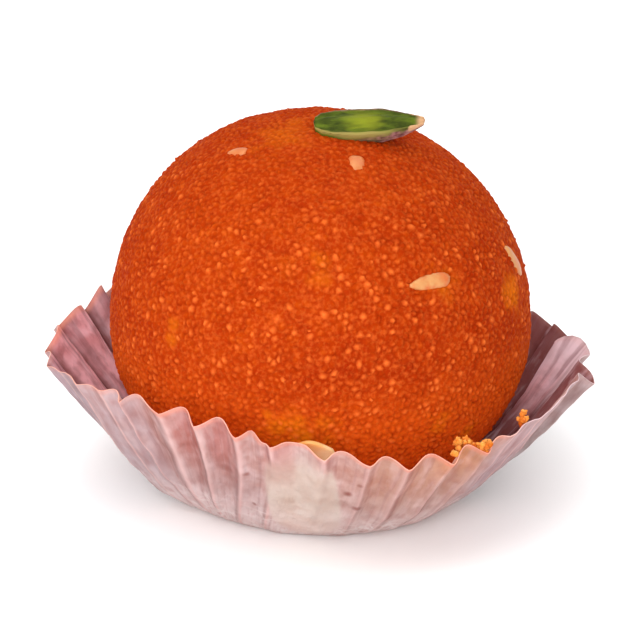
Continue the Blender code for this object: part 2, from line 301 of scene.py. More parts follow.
pearl_sites = settle(spiral_sites())
print("pearls:", len(pearl_sites))

# %% [markdown]
# ## What makes the ladoo uneven
#
# No ladoo is one orange all over. Slips of almond show at its surface, some patches of
# pearls are paler and yellower, and whole sides come out lighter or redder. Each of these is
# a row in a table, with its place on the ball in degrees, so one can be moved or taken out
# without touching the code that reads it.

# %% Almond chips and warm patches on the ladoo
# elevation, azimuth, turn from level (degrees); length, width, thickness (mm)
CHIPS = (
    (28.2, -36.2, -3.0, 6.0, 1.8, 1.3),
    (68.0, -27.0, 70.0, 2.7, 2.0, 1.1),
    (65.0, 68.3, 41.0, 2.7, 1.4, 1.1),
    (21.5, -80.0, -66.0, 5.0, 1.9, 1.2),
    (24.0, 118.0, 35.0, 4.8, 2.1, 1.2),
    (38.0, -148.0, -40.0, 5.2, 2.2, 1.3),
    (16.0, 165.0, 12.0, 3.6, 1.8, 1.1),
    (58.0, 160.0, -70.0, 3.2, 1.6, 1.1),
)
# elevation, azimuth, radius (mm), strength: paler, yellower patches
GLOWS = (
    (27.0, -41.0, 2.0, 0.45),
    (79.0, 60.0, 4.0, 0.35),
    (13.5, 46.3, 1.1, 0.4),
    (9.8, 46.0, 1.1, 0.45),
    (15.4, -70.4, 2.6, 0.75),
    (21.0, -81.0, 1.3, 0.8),
    (38.0, 0.0, 1.4, 0.35),
    (33.0, 1.0, 1.4, 0.3),
    (36.0, 12.0, 1.6, 0.12),
    (-15.0, 6.0, 4.0, 0.95),
    (-10.5, 12.0, 2.4, 0.8),
    (35.0, 130.0, 3.0, 0.7),
    (5.0, -140.0, 3.5, 0.6),
    (-19.0, -48.0, 1.9, 0.85),
    (-13.0, -36.0, 1.7, 0.55),
)
# elevation, azimuth, radius (mm), shift: wide parts of the ladoo that are yellower or redder
TONE_SWELLS = (
    (22.0, 46.0, 15.0, 0.26),
    (-8.0, -12.0, 13.0, -0.32),
    (10.0, -62.0, 12.0, -0.14),
    (30.0, 150.0, 14.0, -0.2),
    (-5.0, -130.0, 12.0, 0.2),
    (6.0, 86.0, 20.0, -0.3),
)
GLOW_RAGGED = 0.7
GLOW_RAG_SIZE = 1.6 * MM
GLOW_EDGE = (0.1, 1.3)  # where a glow starts to fade and where it ends, in radii


def direction_at(elevation, azimuth):
    """The direction from the ladoo's centre, given in degrees."""
    return heading(math.radians(azimuth), math.radians(elevation))


def glow_at(direction):
    """How pale and yellow the pearls are in this direction, 0 to 1."""
    most = 0.0
    for elevation, azimuth, radius, strength in GLOWS:
        away = (direction - direction_at(elevation, azimuth)).length * BALL_RADIUS / (radius * MM)
        away += GLOW_RAGGED * noise.noise(direction * BALL_RADIUS / GLOW_RAG_SIZE)
        most = max(most, strength * (1.0 - smooth_step(*GLOW_EDGE, away)))
    return most


def tone_shift(direction):
    """How much yellower or redder than the rest the pearls are in this direction."""
    total = 0.0
    for elevation, azimuth, radius, shift in TONE_SWELLS:
        away = (direction - direction_at(elevation, azimuth)).length * BALL_RADIUS / (radius * MM)
        total += shift * math.exp(-away * away)
    return total


print("chips:", len(CHIPS), "glows:", len(GLOWS), "tone swells:", len(TONE_SWELLS))

# %% [markdown]
# ## The pearls' skin
#
# The convex hull joins the pearls' points with triangles. A poke in each face and a turn
# of each old edge then leave one fan of triangles round every point, so that each pearl
# has a top and an edge of its own. One subdivision puts points halfway up it. The tops
# are raised and the edges sunk. Five values ride along on the mesh for the finish:
# `crease`, `dot`, `tone`, `glow`, and one for the painted light on the pearls low down.

# %% Flat skin
PEARL_UNEVEN = (0.5, 1.3)  # how high a pearl stands, beside the usual one
PROUD_PEARLS = 0.035  # share that stand clearly higher
PROUD_LIFT = 0.9
BRIGHT_GLINTS, ALL_GLINTS = 0.14, 0.65  # share of pearls that glint strongly, and that glint at all
BRIGHT, FAINT = (0.8, 1.3), (0.1, 0.45)
TONE_MEAN, TONE_SPREAD = 0.5, 0.24
EDGE_TONE = 0.45
CREASE_BIAS = 1.4  # above 1, more of the creases are shallow


def shine():
    """How much a pearl's top catches the light: a few strongly, most of them a little."""
    draw = rng.random()
    if draw < BRIGHT_GLINTS:
        return rng.uniform(*BRIGHT)
    return rng.uniform(*FAINT) if draw < ALL_GLINTS else 0.0


def flat_skin():
    """The skin on a ball of radius 1, with what is drawn at random for each of its points."""
    bm = bmesh.new()
    for site, _ in pearl_sites:
        bm.verts.new(site)
    edge = bm.verts.layers.float.new("edge")
    lift = bm.verts.layers.float.new("lift")
    crease = bm.verts.layers.float.new("crease")
    dot = bm.verts.layers.float.new("dot")
    tone = bm.verts.layers.float.new("tone")
    bmesh.ops.convex_hull(bm, input=bm.verts[:])
    tops = set(bm.verts)
    old_edges = bm.edges[:]
    bmesh.ops.poke(bm, faces=bm.faces[:])
    bmesh.ops.rotate_edges(bm, edges=old_edges, use_ccw=False)
    for vert in bm.verts:
        vert[lift] = rng.uniform(*PEARL_UNEVEN)
        if vert in tops:
            vert[dot] = shine()
            vert[tone] = rng.gauss(TONE_MEAN, TONE_SPREAD)
            if rng.random() < PROUD_PEARLS:
                vert[lift] += PROUD_LIFT
        else:
            vert[edge] = 1.0
            vert[crease] = rng.random() ** CREASE_BIAS
            vert[tone] = EDGE_TONE
    bmesh.ops.subdivide_edges(bm, edges=bm.edges[:], cuts=1, use_grid_fill=True)
    return bm


skin_bm = flat_skin()
print("points of the skin:", len(skin_bm.verts))

# %% Raise the pearls
PEARL_RISE = 0.15 * MM
PEARL_SINK = 0.12 * MM
DOME = 2.4  # a higher power makes a pearl's top flatter
SINK_LEAST = 0.3
LUMP_SIZE = 3.0 * MM
LUMP_HEIGHT = 0.16 * MM
PRESSED_SIZE = 3.2 * MM  # patches where the hand pressed the pearls nearly flat
PRESSED_SHIFT = Vector((7.0, 3.0, 1.0))  # so that they don't follow the lumps
PRESSED_RELIEF = 0.7
TONE_MOTTLE = 0.35
TONE_MOTTLE_SIZE = 2.4 * MM
TOP_FEWER_GLINTS = 0.6  # the painted glints are weaker on the top
LOW_PAINTED_LIGHT = 0.35  # painted light: the pearls by the rim are made paler
LOW_PAINTED_LIGHT_HEIGHTS = (0.05, -0.30)
LIT_THROUGH_PAPER_HEIGHTS = (0.12, -0.38)  # painted light: below the first, light comes in through the paper


def raise_pearls(bm):
    """Lay the skin on the ladoo with its relief, and give each point its colour values."""
    floats = bm.verts.layers.float
    glow = floats.new("glow")
    soak_and_light = floats.new("soak_and_light")
    edge, lift, crease, dot, tone = (floats[key] for key in ("edge", "lift", "crease", "dot", "tone"))
    for vert in bm.verts:
        direction = vert.co.normalized()
        pressed = noise.noise(direction * (BALL_RADIUS / PRESSED_SIZE) + PRESSED_SHIFT)
        relief = PRESSED_RELIEF + (1.0 - PRESSED_RELIEF) * smooth_step(-0.35, 0.15, pressed)
        side = vert[edge]
        raised = PEARL_RISE * (1.0 - side**DOME) * vert[lift]
        raised -= PEARL_SINK * side**4 * (SINK_LEAST + vert[crease]) * vert[lift]
        lump = noise.noise(direction * (BALL_RADIUS / LUMP_SIZE))
        vert[crease] *= relief
        # fewer painted glints on the top of the ladoo
        vert[dot] *= 1.0 - TOP_FEWER_GLINTS * smooth_step(0.55, 0.95, direction.z)
        vert[glow] = glow_at(direction)
        # painted light: the pearls low down are made paler
        vert[tone] += LOW_PAINTED_LIGHT * smooth_step(*LOW_PAINTED_LIGHT_HEIGHTS, direction.z) + tone_shift(direction)
        vert[tone] += TONE_MOTTLE * noise.noise(direction * (BALL_RADIUS / TONE_MOTTLE_SIZE))
        # painted light low down, where light comes in through the paper
        vert[soak_and_light] = smooth_step(*LIT_THROUGH_PAPER_HEIGHTS, direction.z)
        vert.co = ball_point(direction, raised * relief + LUMP_HEIGHT * lump)
    bmesh.ops.recalc_face_normals(bm, faces=bm.faces[:])
    return new_object("pearls", bm)


pearls = raise_pearls(skin_bm)
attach(pearls, "root")
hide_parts("ladoo")
print("pearl skin, triangles:", len(pearls.data.polygons))

# %% [markdown]
# ## The pearls' finish
#
# The gram pearls are dyed deep orange and shine with syrup. Light goes a little way into
# them, so they glow at the tops and turn dark red in the creases; the colour paints most of
# this in. Colour comes from the values on the mesh: `tone` picks each pearl's own orange,
# `crease` paints shade into its edge, `dot` is a painted glint on its top, `glow` marks the
# paler, yellower patches, and the last value paints light onto the pearls low down, where
# light comes in through the paper. Slow noise varies it all, since no syrup is even. The first
# cell holds the small tools that every finish is made with.

# %% Tools for the finishes
FULL = (0.0, 1.0)
MOST_NOISE = (0.35, 0.65)  # most of a noise's values lie between these


def reading(nodes, name):
    """The value that a mesh carries under this name."""
    node = nodes.new("ShaderNodeAttribute")
    node.attribute_name = name
    return node.outputs["Fac"]


def feed(link, value, socket):
    """Give a socket its value, which may be a plain one or another node's output."""
    if isinstance(value, bpy.types.NodeSocket):
        link(value, socket)
    else:
        socket.default_value = value


def mix_colours(nodes, link, share, low, high):
    """A blend of two colours; share, low and high may each be a socket."""
    node = nodes.new("ShaderNodeMix")
    node.data_type = "RGBA"
    # a Mix node has a set of sockets for every kind of value: 0, 6, 7 and output 2 are for colours
    feed(link, share, node.inputs[0])
    feed(link, low, node.inputs[6])
    feed(link, high, node.inputs[7])
    return node.outputs[2]


def arithmetic(nodes, link, operation, first, second):
    """One step of arithmetic; first and second may each be a socket."""
    node = nodes.new("ShaderNodeMath")
    node.operation = operation
    feed(link, first, node.inputs[0])
    feed(link, second, node.inputs[1])
    return node.outputs["Value"]


def ranged(nodes, link, value, old, new):
    """A socket's value carried from one range to another, clamped."""
    node = nodes.new("ShaderNodeMapRange")
    link(value, node.inputs["Value"])
    node.inputs["From Min"].default_value, node.inputs["From Max"].default_value = old
    node.inputs["To Min"].default_value, node.inputs["To Max"].default_value = new
    return node.outputs["Result"]


def noise_at(nodes, link, place, detail):
    """Noise read at a place that is already in features, not metres."""
    grain = nodes.new("ShaderNodeTexNoise")
    grain.inputs["Scale"].default_value = 1.0
    grain.inputs["Detail"].default_value = detail
    link(place, grain.inputs["Vector"])
    return grain.outputs["Fac"]


def noise_value(nodes, link, size, detail=3.0, stretch=(1.0, 1.0, 1.0)):
    """Noise with features of this size, in metres, fixed to the object."""
    place = nodes.new("ShaderNodeTexCoord")
    scale = nodes.new("ShaderNodeMapping")
    scale.inputs["Scale"].default_value = tuple(s / size for s in stretch)
    link(place.outputs["Object"], scale.inputs["Vector"])
    return noise_at(nodes, link, scale.outputs["Vector"], detail)


def patchy(nodes, link, size, old, new, detail=3.0):
    """Patches of this size, in metres: noise carried from one range to another."""
    return ranged(nodes, link, noise_value(nodes, link, size, detail), old, new)


def shown(nodes, link, value, old, new):
    """A value on the mesh, carried from one range to another."""
    return ranged(nodes, link, reading(nodes, value), old, new)


def laid_over(nodes, link, colour, rows):
    """Tints over a colour; a row is a value on the mesh, its range, how much tint, and the tint."""
    for value, old, new, tint in rows:
        colour = mix_colours(nodes, link, shown(nodes, link, value, old, new), colour, tint)
    return colour


def add_bump(nodes, link, shader, height, depth, strength=1.0):
    """Fine relief: height runs 0 to 1 over this depth in metres."""
    bump = nodes.new("ShaderNodeBump")
    bump.inputs["Distance"].default_value = depth
    bump.inputs["Strength"].default_value = strength
    link(height, bump.inputs["Height"])
    link(bump.outputs["Normal"], shader.inputs["Normal"])


# %% Syrupy orange
ORANGE_DEEP = srgb(144, 36, 1)
ORANGE = srgb(156, 48, 2)
ORANGE_PALE = srgb(168, 61, 4)
# painted shade in the creases between pearls
ORANGE_CREASE_SHADE = srgb(136, 33, 1)
# painted glint on the pearls' tops
ORANGE_GLINT = srgb(210, 98, 38)
ORANGE_GLOW = srgb(200, 102, 10)
# painted light on the pearls low down
ORANGE_LIT_THROUGH_PAPER = srgb(232, 98, 20)
SYRUP_SLOW, SYRUP_GRAIN, SYRUP_GLOSS = 6.0 * MM, 0.5 * MM, 2.2 * MM  # sizes of what varies in it
SYRUP_BUMP_SIZE, SYRUP_BUMP = 0.4 * MM, 0.05 * MM
SYRUP_SURFACE = {
    "Specular IOR Level": 0.03,
    "Subsurface Weight": 0.12,
    "Subsurface Radius": (1.0, 0.22, 0.06),
    "Subsurface Scale": 0.6 * MM,
}


def syrup_finish(name, low, middle, high, crease_shade_colour, glint_colour, glow_colour):
    """Dyed, syrup-soaked gram: used for the pearls in the ball and the loose ones."""
    material, nodes, link, shader = new_material(name)
    tones = nodes.new("ShaderNodeValToRGB")
    tones.color_ramp.elements[0].color = low
    tones.color_ramp.elements[1].color = high
    tones.color_ramp.elements.new(0.5).color = middle
    link(reading(nodes, "tone"), tones.inputs["Fac"])
    slow = patchy(nodes, link, SYRUP_SLOW, MOST_NOISE, (0.0, 0.25))
    colour = mix_colours(nodes, link, slow, tones.outputs["Color"], low)
    # a fine grain of small painted glints
    grain = patchy(nodes, link, SYRUP_GRAIN, (0.45, 0.68), (0.0, 0.35))
    colour = mix_colours(nodes, link, grain, colour, glint_colour)
    rows = (
        # painted light on the pearls low down
        ("soak_and_light", FULL, (0.0, 0.48), ORANGE_LIT_THROUGH_PAPER),
        ("glow", FULL, (0.0, 0.95), glow_colour),
        # painted shade along each pearl's edge
        ("crease", (0.08, 0.85), (0.0, 0.55), crease_shade_colour),
        # painted glint on each pearl's top
        ("dot", (0.12, 1.15), FULL, glint_colour),
    )
    link(laid_over(nodes, link, colour, rows), shader.inputs["Base Color"])
    gloss = patchy(nodes, link, SYRUP_GLOSS, (0.3, 0.7), (0.7, 0.9))
    link(gloss, shader.inputs["Roughness"])
    set_inputs(shader, SYRUP_SURFACE)
    add_bump(nodes, link, shader, noise_value(nodes, link, SYRUP_BUMP_SIZE), SYRUP_BUMP, 0.7)
    return material


pearls.data.materials.append(
    syrup_finish(
        "syrup_orange", ORANGE_DEEP, ORANGE, ORANGE_PALE, ORANGE_CREASE_SHADE, ORANGE_GLINT, ORANGE_GLOW
    )
)
print("finish of the pearls:", pearls.data.materials[0].name)

# %% [markdown]
# ## The almond chips
#
# Slips of almond were stirred in with the pearls, and a few show at the surface, half
# sunk. Each starts as a ball, is squashed to a slip, gets blunt ends and a wavy edge, and
# is laid into the skin so that only its face stands a hair above the pearls.

# %% Chips in the surface
CHIP_SINK = 0.25 * MM
CHIP_WAVE = 0.10
CHIP_WAVES, CHIP_NICKS = 1.7, 5.0  # how many slow and quick waves its edge has
CHIP_BLUNT = 0.8  # powers below 1 square off its ends and its faces
CHIP_FLAT = 0.55
CHIP_TAPER = 0.30
CHIP_SOAKED = 0.45  # how deep in syrup the chips near the top are
SOAKED_ABOVE = (50.0, 66.0)  # degrees up the ladoo


def chip_mesh(bm, chip, seed):
    """Add one almond slip to the mesh."""
    elevation, azimuth, turn, length, width, thickness = chip
    outward = direction_at(elevation, azimuth)
    level = UP.cross(outward).normalized()
    place = (
        Matrix.Translation(ball_point(outward, -CHIP_SINK))
        @ Matrix((level, outward.cross(level), outward)).transposed().to_4x4()
        @ Matrix.Rotation(math.radians(turn), 4, "Z")
    )
    soak_and_light = bm.verts.layers.float["soak_and_light"]
    made = bmesh.ops.create_uvsphere(bm, u_segments=40, v_segments=20, radius=1.0)
    for vert in made["verts"]:
        vert[soak_and_light] = CHIP_SOAKED * smooth_step(*SOAKED_ABOVE, elevation)
        along, across, up = vert.co
        slow = noise.noise(Vector((along * CHIP_WAVES, across * CHIP_WAVES, seed * 7.3)))
        quick = noise.noise(Vector((along * CHIP_NICKS, across * CHIP_NICKS, seed * 3.1)))
        wave = 1.0 + CHIP_WAVE * slow + 0.5 * CHIP_WAVE * quick
        blunt = math.copysign(abs(along) ** CHIP_BLUNT, along)
        face = math.copysign(abs(up) ** CHIP_FLAT, up)
        taper = 1.0 + CHIP_TAPER * along
        vert.co = place @ Vector(
            (
                blunt * 0.5 * length * MM * wave,
                across * taper * 0.5 * width * MM * wave,
                face * 0.5 * thickness * MM,
            )
        )


chip_bm = bmesh.new()
chip_bm.verts.layers.float.new("soak_and_light")
for index, chip in enumerate(CHIPS):
    chip_mesh(chip_bm, chip, index)
bmesh.ops.recalc_face_normals(chip_bm, faces=chip_bm.faces[:])
chips = new_object("almond_chips", chip_bm)
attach(chips, "root")
print("almond chips:", len(CHIPS))

# %% [markdown]
# ## The almond's finish
#
# Blanched almond is a warm cream, a little waxy, with faint paler streaks along it. The
# chips have drunk some syrup, so slow noise stains them toward yellow-orange, and a
# value on the mesh says where they are soaked through.

# %% Blanched almond
ALMOND_FIBRE, ALMOND_STAIN = 1.1 * MM, 1.8 * MM  # sizes of its streaks and of its stains
ALMOND_ALONG = (1.0, 1.0, 0.35)  # the streaks are about three times as long as they are wide
ALMOND_BUMP = 0.05 * MM
ALMOND_SURFACE = {
    "Roughness": 0.42,
    "Subsurface Weight": 0.15,
    "Subsurface Radius": (1.0, 0.6, 0.3),
    "Subsurface Scale": 1.0 * MM,
}


def almond_finish(name, cream, glint, stain, stain_share):
    """Waxy cream with streaks and a syrup stain."""
    material, nodes, link, shader = new_material(name)
    fibres = noise_value(nodes, link, ALMOND_FIBRE, 4.0, ALMOND_ALONG)
    lighter = ranged(nodes, link, fibres, (0.35, 0.7), (0.0, 0.5))
    pale = mix_colours(nodes, link, lighter, cream, glint)
    patches = patchy(nodes, link, ALMOND_STAIN, (0.42, 0.66), (0.0, stain_share))
    stained = mix_colours(nodes, link, patches, pale, stain)
    colour = laid_over(nodes, link, stained, [("soak_and_light", FULL, (0.0, 0.9), stain)])
    link(colour, shader.inputs["Base Color"])
    set_inputs(shader, ALMOND_SURFACE)
    add_bump(nodes, link, shader, fibres, ALMOND_BUMP, 0.5)
    return material


chips.data.materials.append(
    almond_finish("syrupy_almond", srgb(178, 112, 56), srgb(212, 160, 98), srgb(188, 86, 20), 0.85)
)
print("finish of the chips:", chips.data.materials[0].name)

# %% [markdown]
# ## The half pistachio
#
# A pistachio splits into two boats. This half lies cut face up and level, so its right end
# is off the slope: green inside, paler along the rim of the cut, and on its back still
# some of the thin purple-brown skin. One closed mesh, made from a ball: the top half is
# flattened to the cut face, the lower half kept deep, and the back is wrinkled lengthwise.
# Each point is described by three shares: how far along the kernel it is, how far across
# its own width, and how far up or down.

# %% Where the kernel lies
KERNEL_LENGTH = 13.3 * MM
KERNEL_WIDTH = 4.9 * MM
KERNEL_DEPTH = 2.7 * MM
KERNEL_SINK = 0.9 * MM
KERNEL_TOWARD = Vector((0.215, -0.085, 0.973)).normalized()
KERNEL_UP = Vector((-0.025, -0.290, 0.957)).normalized()
KERNEL_OUTLINE = (  # half width along the kernel from its blunt left end to its tip
    (-1.0, 0.0), (-0.97, 0.42), (-0.86, 0.72), (-0.62, 0.93), (-0.2, 1.0),
    (0.25, 0.93), (0.6, 0.68), (0.86, 0.38), (0.97, 0.22), (1.0, 0.0),
)


def kernel_place():
    """Frame of the kernel: X along it to the right, Z out of its cut face."""
    across = KERNEL_UP.cross(Vector((1.0, 0.0, 0.0))).normalized()
    turn = Matrix((across.cross(KERNEL_UP), across, KERNEL_UP)).transposed().to_4x4()
    return Matrix.Translation(ball_point(KERNEL_TOWARD, KERNEL_DEPTH - KERNEL_SINK)) @ turn


def straight(keys, place):
    """A table of (place, value) pairs, read with straight lines between them."""
    for (start, low), (end, high) in zip(keys, keys[1:]):
        if place <= end:
            return low + (high - low) * (place - start) / (end - start)
    return keys[-1][1]


print("kernel's middle, mm:", [round(c / MM, 1) for c in kernel_place().translation])

# %% Half pistachio
KERNEL_RIDGE = 0.675 * MM
KERNEL_RIDGE_WIDTH = 0.42
KERNEL_LIP = 0.16 * MM
KERNEL_RIPPLE, KERNEL_FINE = 0.10, 0.06  # mm
KERNEL_WRINKLE = 0.06
KERNEL_WANDER = 0.09
HEART_PLACE = -0.10  # where the paler middle of the cut face lies, along the kernel
HEART_ALONG, HEART_ACROSS = 1.6, 0.65  # the larger of these, the shorter it is that way
KERNEL_VALUES = ("skin", "rim", "heart", "tip")


def kernel_relief(along, across, across_share, up_share, half, ripple):
    """Height above the kernel's middle plane, and how far its side swells."""
    if up_share <= 0.0:
        wrinkle = noise.noise(Vector((along * 2.0, math.atan2(across_share, up_share) * 4.0, 4.0)))
        return KERNEL_DEPTH * up_share * half, 1.0 + KERNEL_WRINKLE * wrinkle
    # the cut face: a low ridge down the middle and a thin raised lip
    edge = abs(across_share)
    ridge = KERNEL_RIDGE * math.exp(-((across_share / KERNEL_RIDGE_WIDTH) ** 2)) * half
    lip = KERNEL_LIP * smooth_step(0.72, 0.9, edge) * (1.0 - smooth_step(0.93, 1.0, edge))
    fine = noise.noise(Vector((along * 9.0, across * 22.0, 2.0)))
    rough = (KERNEL_RIPPLE * ripple + KERNEL_FINE * fine) * MM
    return ridge * min(1.0, up_share * 4.0) + lip + rough, 1.0


def kernel_values(along, across_share, up_share, wander, ripple):
    """How much rim, pale tip, skin and heart a point of the kernel shows, each 0 to 1."""
    edge = abs(across_share)
    near_side = smooth_step(0.2, -0.6, across_share) * smooth_step(0.7, 0.0, along)
    strong = 0.2 + 0.7 * max(near_side, smooth_step(-0.75, -0.95, along))
    outer = smooth_step(0.84, 0.96, edge + 0.10 * wander)
    rim_from = -0.3 - 0.7 * smooth_step(-0.65, -0.2, along)
    pale_edge = max(along, edge * smooth_step(0.50, 0.75, along) - 0.02 * ripple)
    under = 1.0 - smooth_step(-0.30, 0.0, up_share + 0.25 * ripple)
    back = under * smooth_step(-0.15, 0.30, along + 0.35 * ripple)
    far_side = 0.8 * smooth_step(0.80, 0.95, edge) * smooth_step(0.2, 0.6, across_share)
    from_heart = math.hypot((along - HEART_PLACE) * HEART_ALONG, across_share * HEART_ACROSS)
    from_heart += 0.2 * ripple
    return {
        "skin": max(back, far_side),
        "rim": strong * outer * smooth_step(rim_from, 0.0, up_share),
        "heart": (1.0 - smooth_step(0.1, 0.75, from_heart)) * smooth_step(0.0, 0.2, up_share),
        "tip": smooth_step(0.80, 0.93, pale_edge) * smooth_step(-0.7, -0.2, up_share),
    }


def kernel_mesh():
    """The half kernel, with the values that its finish reads."""
    bm = bmesh.new()
    bmesh.ops.create_uvsphere(bm, u_segments=128, v_segments=96, radius=1.0)
    layers = {key: bm.verts.layers.float.new(key) for key in KERNEL_VALUES}
    place = kernel_place()
    # the ball's poles go to the kernel's two ends
    lengthwise = Matrix.Rotation(math.pi / 2.0, 3, "Y")
    bmesh.ops.rotate(bm, cent=(0, 0, 0), matrix=lengthwise, verts=bm.verts[:])
    for vert in bm.verts:
        along, across, up = vert.co
        ring = math.sqrt(max(0.0, 1.0 - along * along))
        across_share = across / ring if ring > TINY else 0.0
        up_share = up / ring if ring > TINY else 0.0
        half = straight(KERNEL_OUTLINE, along)
        wander = noise.noise(Vector((along * 2.2, math.copysign(1.0, across) * 3.0, 5.0)))
        ripple = noise.noise(Vector((along * 4.0, across * 7.0, up * 4.0)))
        for key, value in kernel_values(along, across_share, up_share, wander, ripple).items():
            vert[layers[key]] = value
        height, swell = kernel_relief(along, across, across_share, up_share, half, ripple)
        vert.co = place @ Vector(
            (
                along * 0.5 * KERNEL_LENGTH,
                across_share * half * 0.5 * KERNEL_WIDTH * swell * (1.0 + KERNEL_WANDER * wander),
                height * swell,
            )
        )
    bmesh.ops.recalc_face_normals(bm, faces=bm.faces[:])
    return new_object("pistachio_kernel", bm)


kernel = kernel_mesh()
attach(kernel, "root")
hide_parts("pistachio")
print("kernel faces:", len(kernel.data.polygons))

# %% [markdown]
# ## The pistachio's finish
#
# Green goes on first, in two depths, with fibres along the kernel. Over it come the paler
# heart, the cream rim, the purple-brown skin and the dry tip, each where its value on the
# mesh says. The fibres also give the relief, since a dry nut is hardly glossy.

# %% Pistachio green and its skin
KERNEL_FIBRE, KERNEL_BLOTCH, KERNEL_MOTTLE = 0.7 * MM, 2.4 * MM, 0.7 * MM
KERNEL_LENGTHWISE = (0.3, 1.0, 1.0)
KERNEL_BUMP = 0.16 * MM
KERNEL_SURFACE = {
    "Roughness": 0.6,
    "Specular IOR Level": 0.08,
    "Subsurface Weight": 0.06,
    "Subsurface Radius": (0.6, 1.0, 0.2),
    "Subsurface Scale": 0.4 * MM,
}
GREEN_DEEP = srgb(44, 52, 10)
GREEN = srgb(64, 76, 14)
GREEN_FIBRE = srgb(92, 108, 24)
GREEN_HEART = srgb(130, 136, 28)
RIM_CREAM = srgb(158, 138, 78)
SKIN_DARK = srgb(84, 44, 50)
SKIN_PALE = srgb(150, 104, 100)
TIP_BEIGE = srgb(194, 150, 112)


def kernel_finish():
    """Green kernel: paler heart and rim, purple-brown skin on the back."""
    material, nodes, link, shader = new_material("pistachio_green")
    fibres = noise_value(nodes, link, KERNEL_FIBRE, 4.0, KERNEL_LENGTHWISE)
    blotches = patchy(nodes, link, KERNEL_BLOTCH, MOST_NOISE, FULL)
    colour = mix_colours(nodes, link, blotches, GREEN_DEEP, GREEN)
    lines = ranged(nodes, link, fibres, (0.42, 0.68), (0.0, 0.7))
    colour = mix_colours(nodes, link, lines, colour, GREEN_FIBRE)
    mottle = patchy(nodes, link, KERNEL_MOTTLE, MOST_NOISE, FULL)
    purple = mix_colours(nodes, link, mottle, SKIN_DARK, SKIN_PALE)
    rows = (
        ("heart", FULL, (0.0, 0.68), GREEN_HEART),
        ("rim", FULL, (0.0, 0.75), RIM_CREAM),
        ("skin", FULL, FULL, purple),
        ("tip", FULL, (0.0, 0.9), TIP_BEIGE),
    )
    link(laid_over(nodes, link, colour, rows), shader.inputs["Base Color"])
    set_inputs(shader, KERNEL_SURFACE)
    add_bump(nodes, link, shader, fibres, KERNEL_BUMP, 0.9)
    return material


kernel.data.materials.append(kernel_finish())
print("finish of the kernel:", kernel.data.materials[0].name)

# %% [markdown]
# ## The almond flake behind the paper
#
# One large slice of almond slid down between the ladoo and the front wall, and shows
# through the paper as a cream patch. It is a thin slip: an oval with blunt corners, made
# from a ball pressed flat, so that its edge is rounded and its faces are gently warped.

# %% Almond flake
FLAKE_LENGTH = 21.0 * MM
FLAKE_WIDTH = 9.1 * MM
FLAKE_THICKNESS = 0.9 * MM
FLAKE_BLUNT = 0.35
FLAKE_FLAT = 0.3  # a power below 1 turns the ball's top into a face
FLAKE_HALF = 0.48  # the face's height as a share of the thickness; the warp adds the rest
FLAKE_WARP = 0.04 * MM
FLAKE_WAVE = 0.018
FLAKE_TAPER = 0.12
FLAKE_AZIMUTH = math.radians(5.0)
FLAKE_LEAN = math.radians(40.3)
FLAKE_REACH = 25.15 * MM
FLAKE_BROKEN = 0.20  # its top left corner is a little shorter
FLAKE_UP = 6.2 * MM
FLAKE_DRY = 0.58  # above this share of its height it is soaked in syrup


def flake_place():
    """Frame of the flake: X across, Y up the wall, Z outward through the paper."""
    outward = heading(FLAKE_AZIMUTH, -FLAKE_LEAN)
    up = heading(FLAKE_AZIMUTH, math.pi / 2.0 - FLAKE_LEAN)
    turn = Matrix((up.cross(outward), up, outward)).transposed().to_4x4()
    return Matrix.Translation(BALL_CENTRE + outward * FLAKE_REACH + up * FLAKE_UP) @ turn


def flake_mesh():
    """The slice of almond: a ball flattened to a slip with blunt corners."""
    bm = bmesh.new()
    bmesh.ops.create_uvsphere(bm, u_segments=72, v_segments=40, radius=1.0)
    soak_and_light = bm.verts.layers.float.new("soak_and_light")
    place = flake_place()
    for vert in bm.verts:
        x, y, z = vert.co
        flat = max(TINY, math.hypot(x, y))
        corner = max(0.7, max(abs(x), abs(y)) / flat) ** FLAKE_BLUNT
        wave = 1.0 + FLAKE_WAVE * noise.noise(Vector((x * 2.5, y * 2.5, 9.0)))
        face = math.copysign(abs(z) ** FLAKE_FLAT, z)
        warp = FLAKE_WARP * noise.noise(Vector((x * 1.5, y * 1.5, 2.0)))
        reach = min(1.0, flat) / corner * wave
        reach *= 1.0 - FLAKE_BROKEN * smooth_step(0.3, 1.0, y) * smooth_step(0.35, -0.5, x)
        vert[soak_and_light] = smooth_step(FLAKE_DRY, 1.0, y)
        vert.co = place @ Vector(
            (
                x / flat * reach * 0.5 * FLAKE_WIDTH * (1.0 + FLAKE_TAPER * y),
                y / flat * reach * 0.5 * FLAKE_LENGTH,
                face * FLAKE_HALF * FLAKE_THICKNESS + warp,
            )
        )
    bmesh.ops.recalc_face_normals(bm, faces=bm.faces[:])
    return new_object("almond_slice", bm)


flake = flake_mesh()
flake.data.materials.append(
    almond_finish(
        "blanched_almond", srgb(226, 204, 158), srgb(236, 220, 184), srgb(206, 136, 48), 0.25
    )
)
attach(flake, "root")
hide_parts("almond_flake")
print("flake faces:", len(flake.data.polygons))

# %% [markdown]
# ## The paper case
#
# The case is one disc of greaseproof paper pressed in a fluted mould. Its folds are sharp
# outside and round inside, they die away toward the foot, and they were pulled uneven
# when the ladoo was set in: steep on the front left, wide open on the right. The wall is
# a lathed cup at first. Each point then moves by its fold, its wall's lean and belly,
# and last out of the way of the ladoo and the flake. What changes on the way round is kept
# in tables of places and values, read with an eased curve between them, so that one fold
# can be opened, leaned or shortened without disturbing the rest.

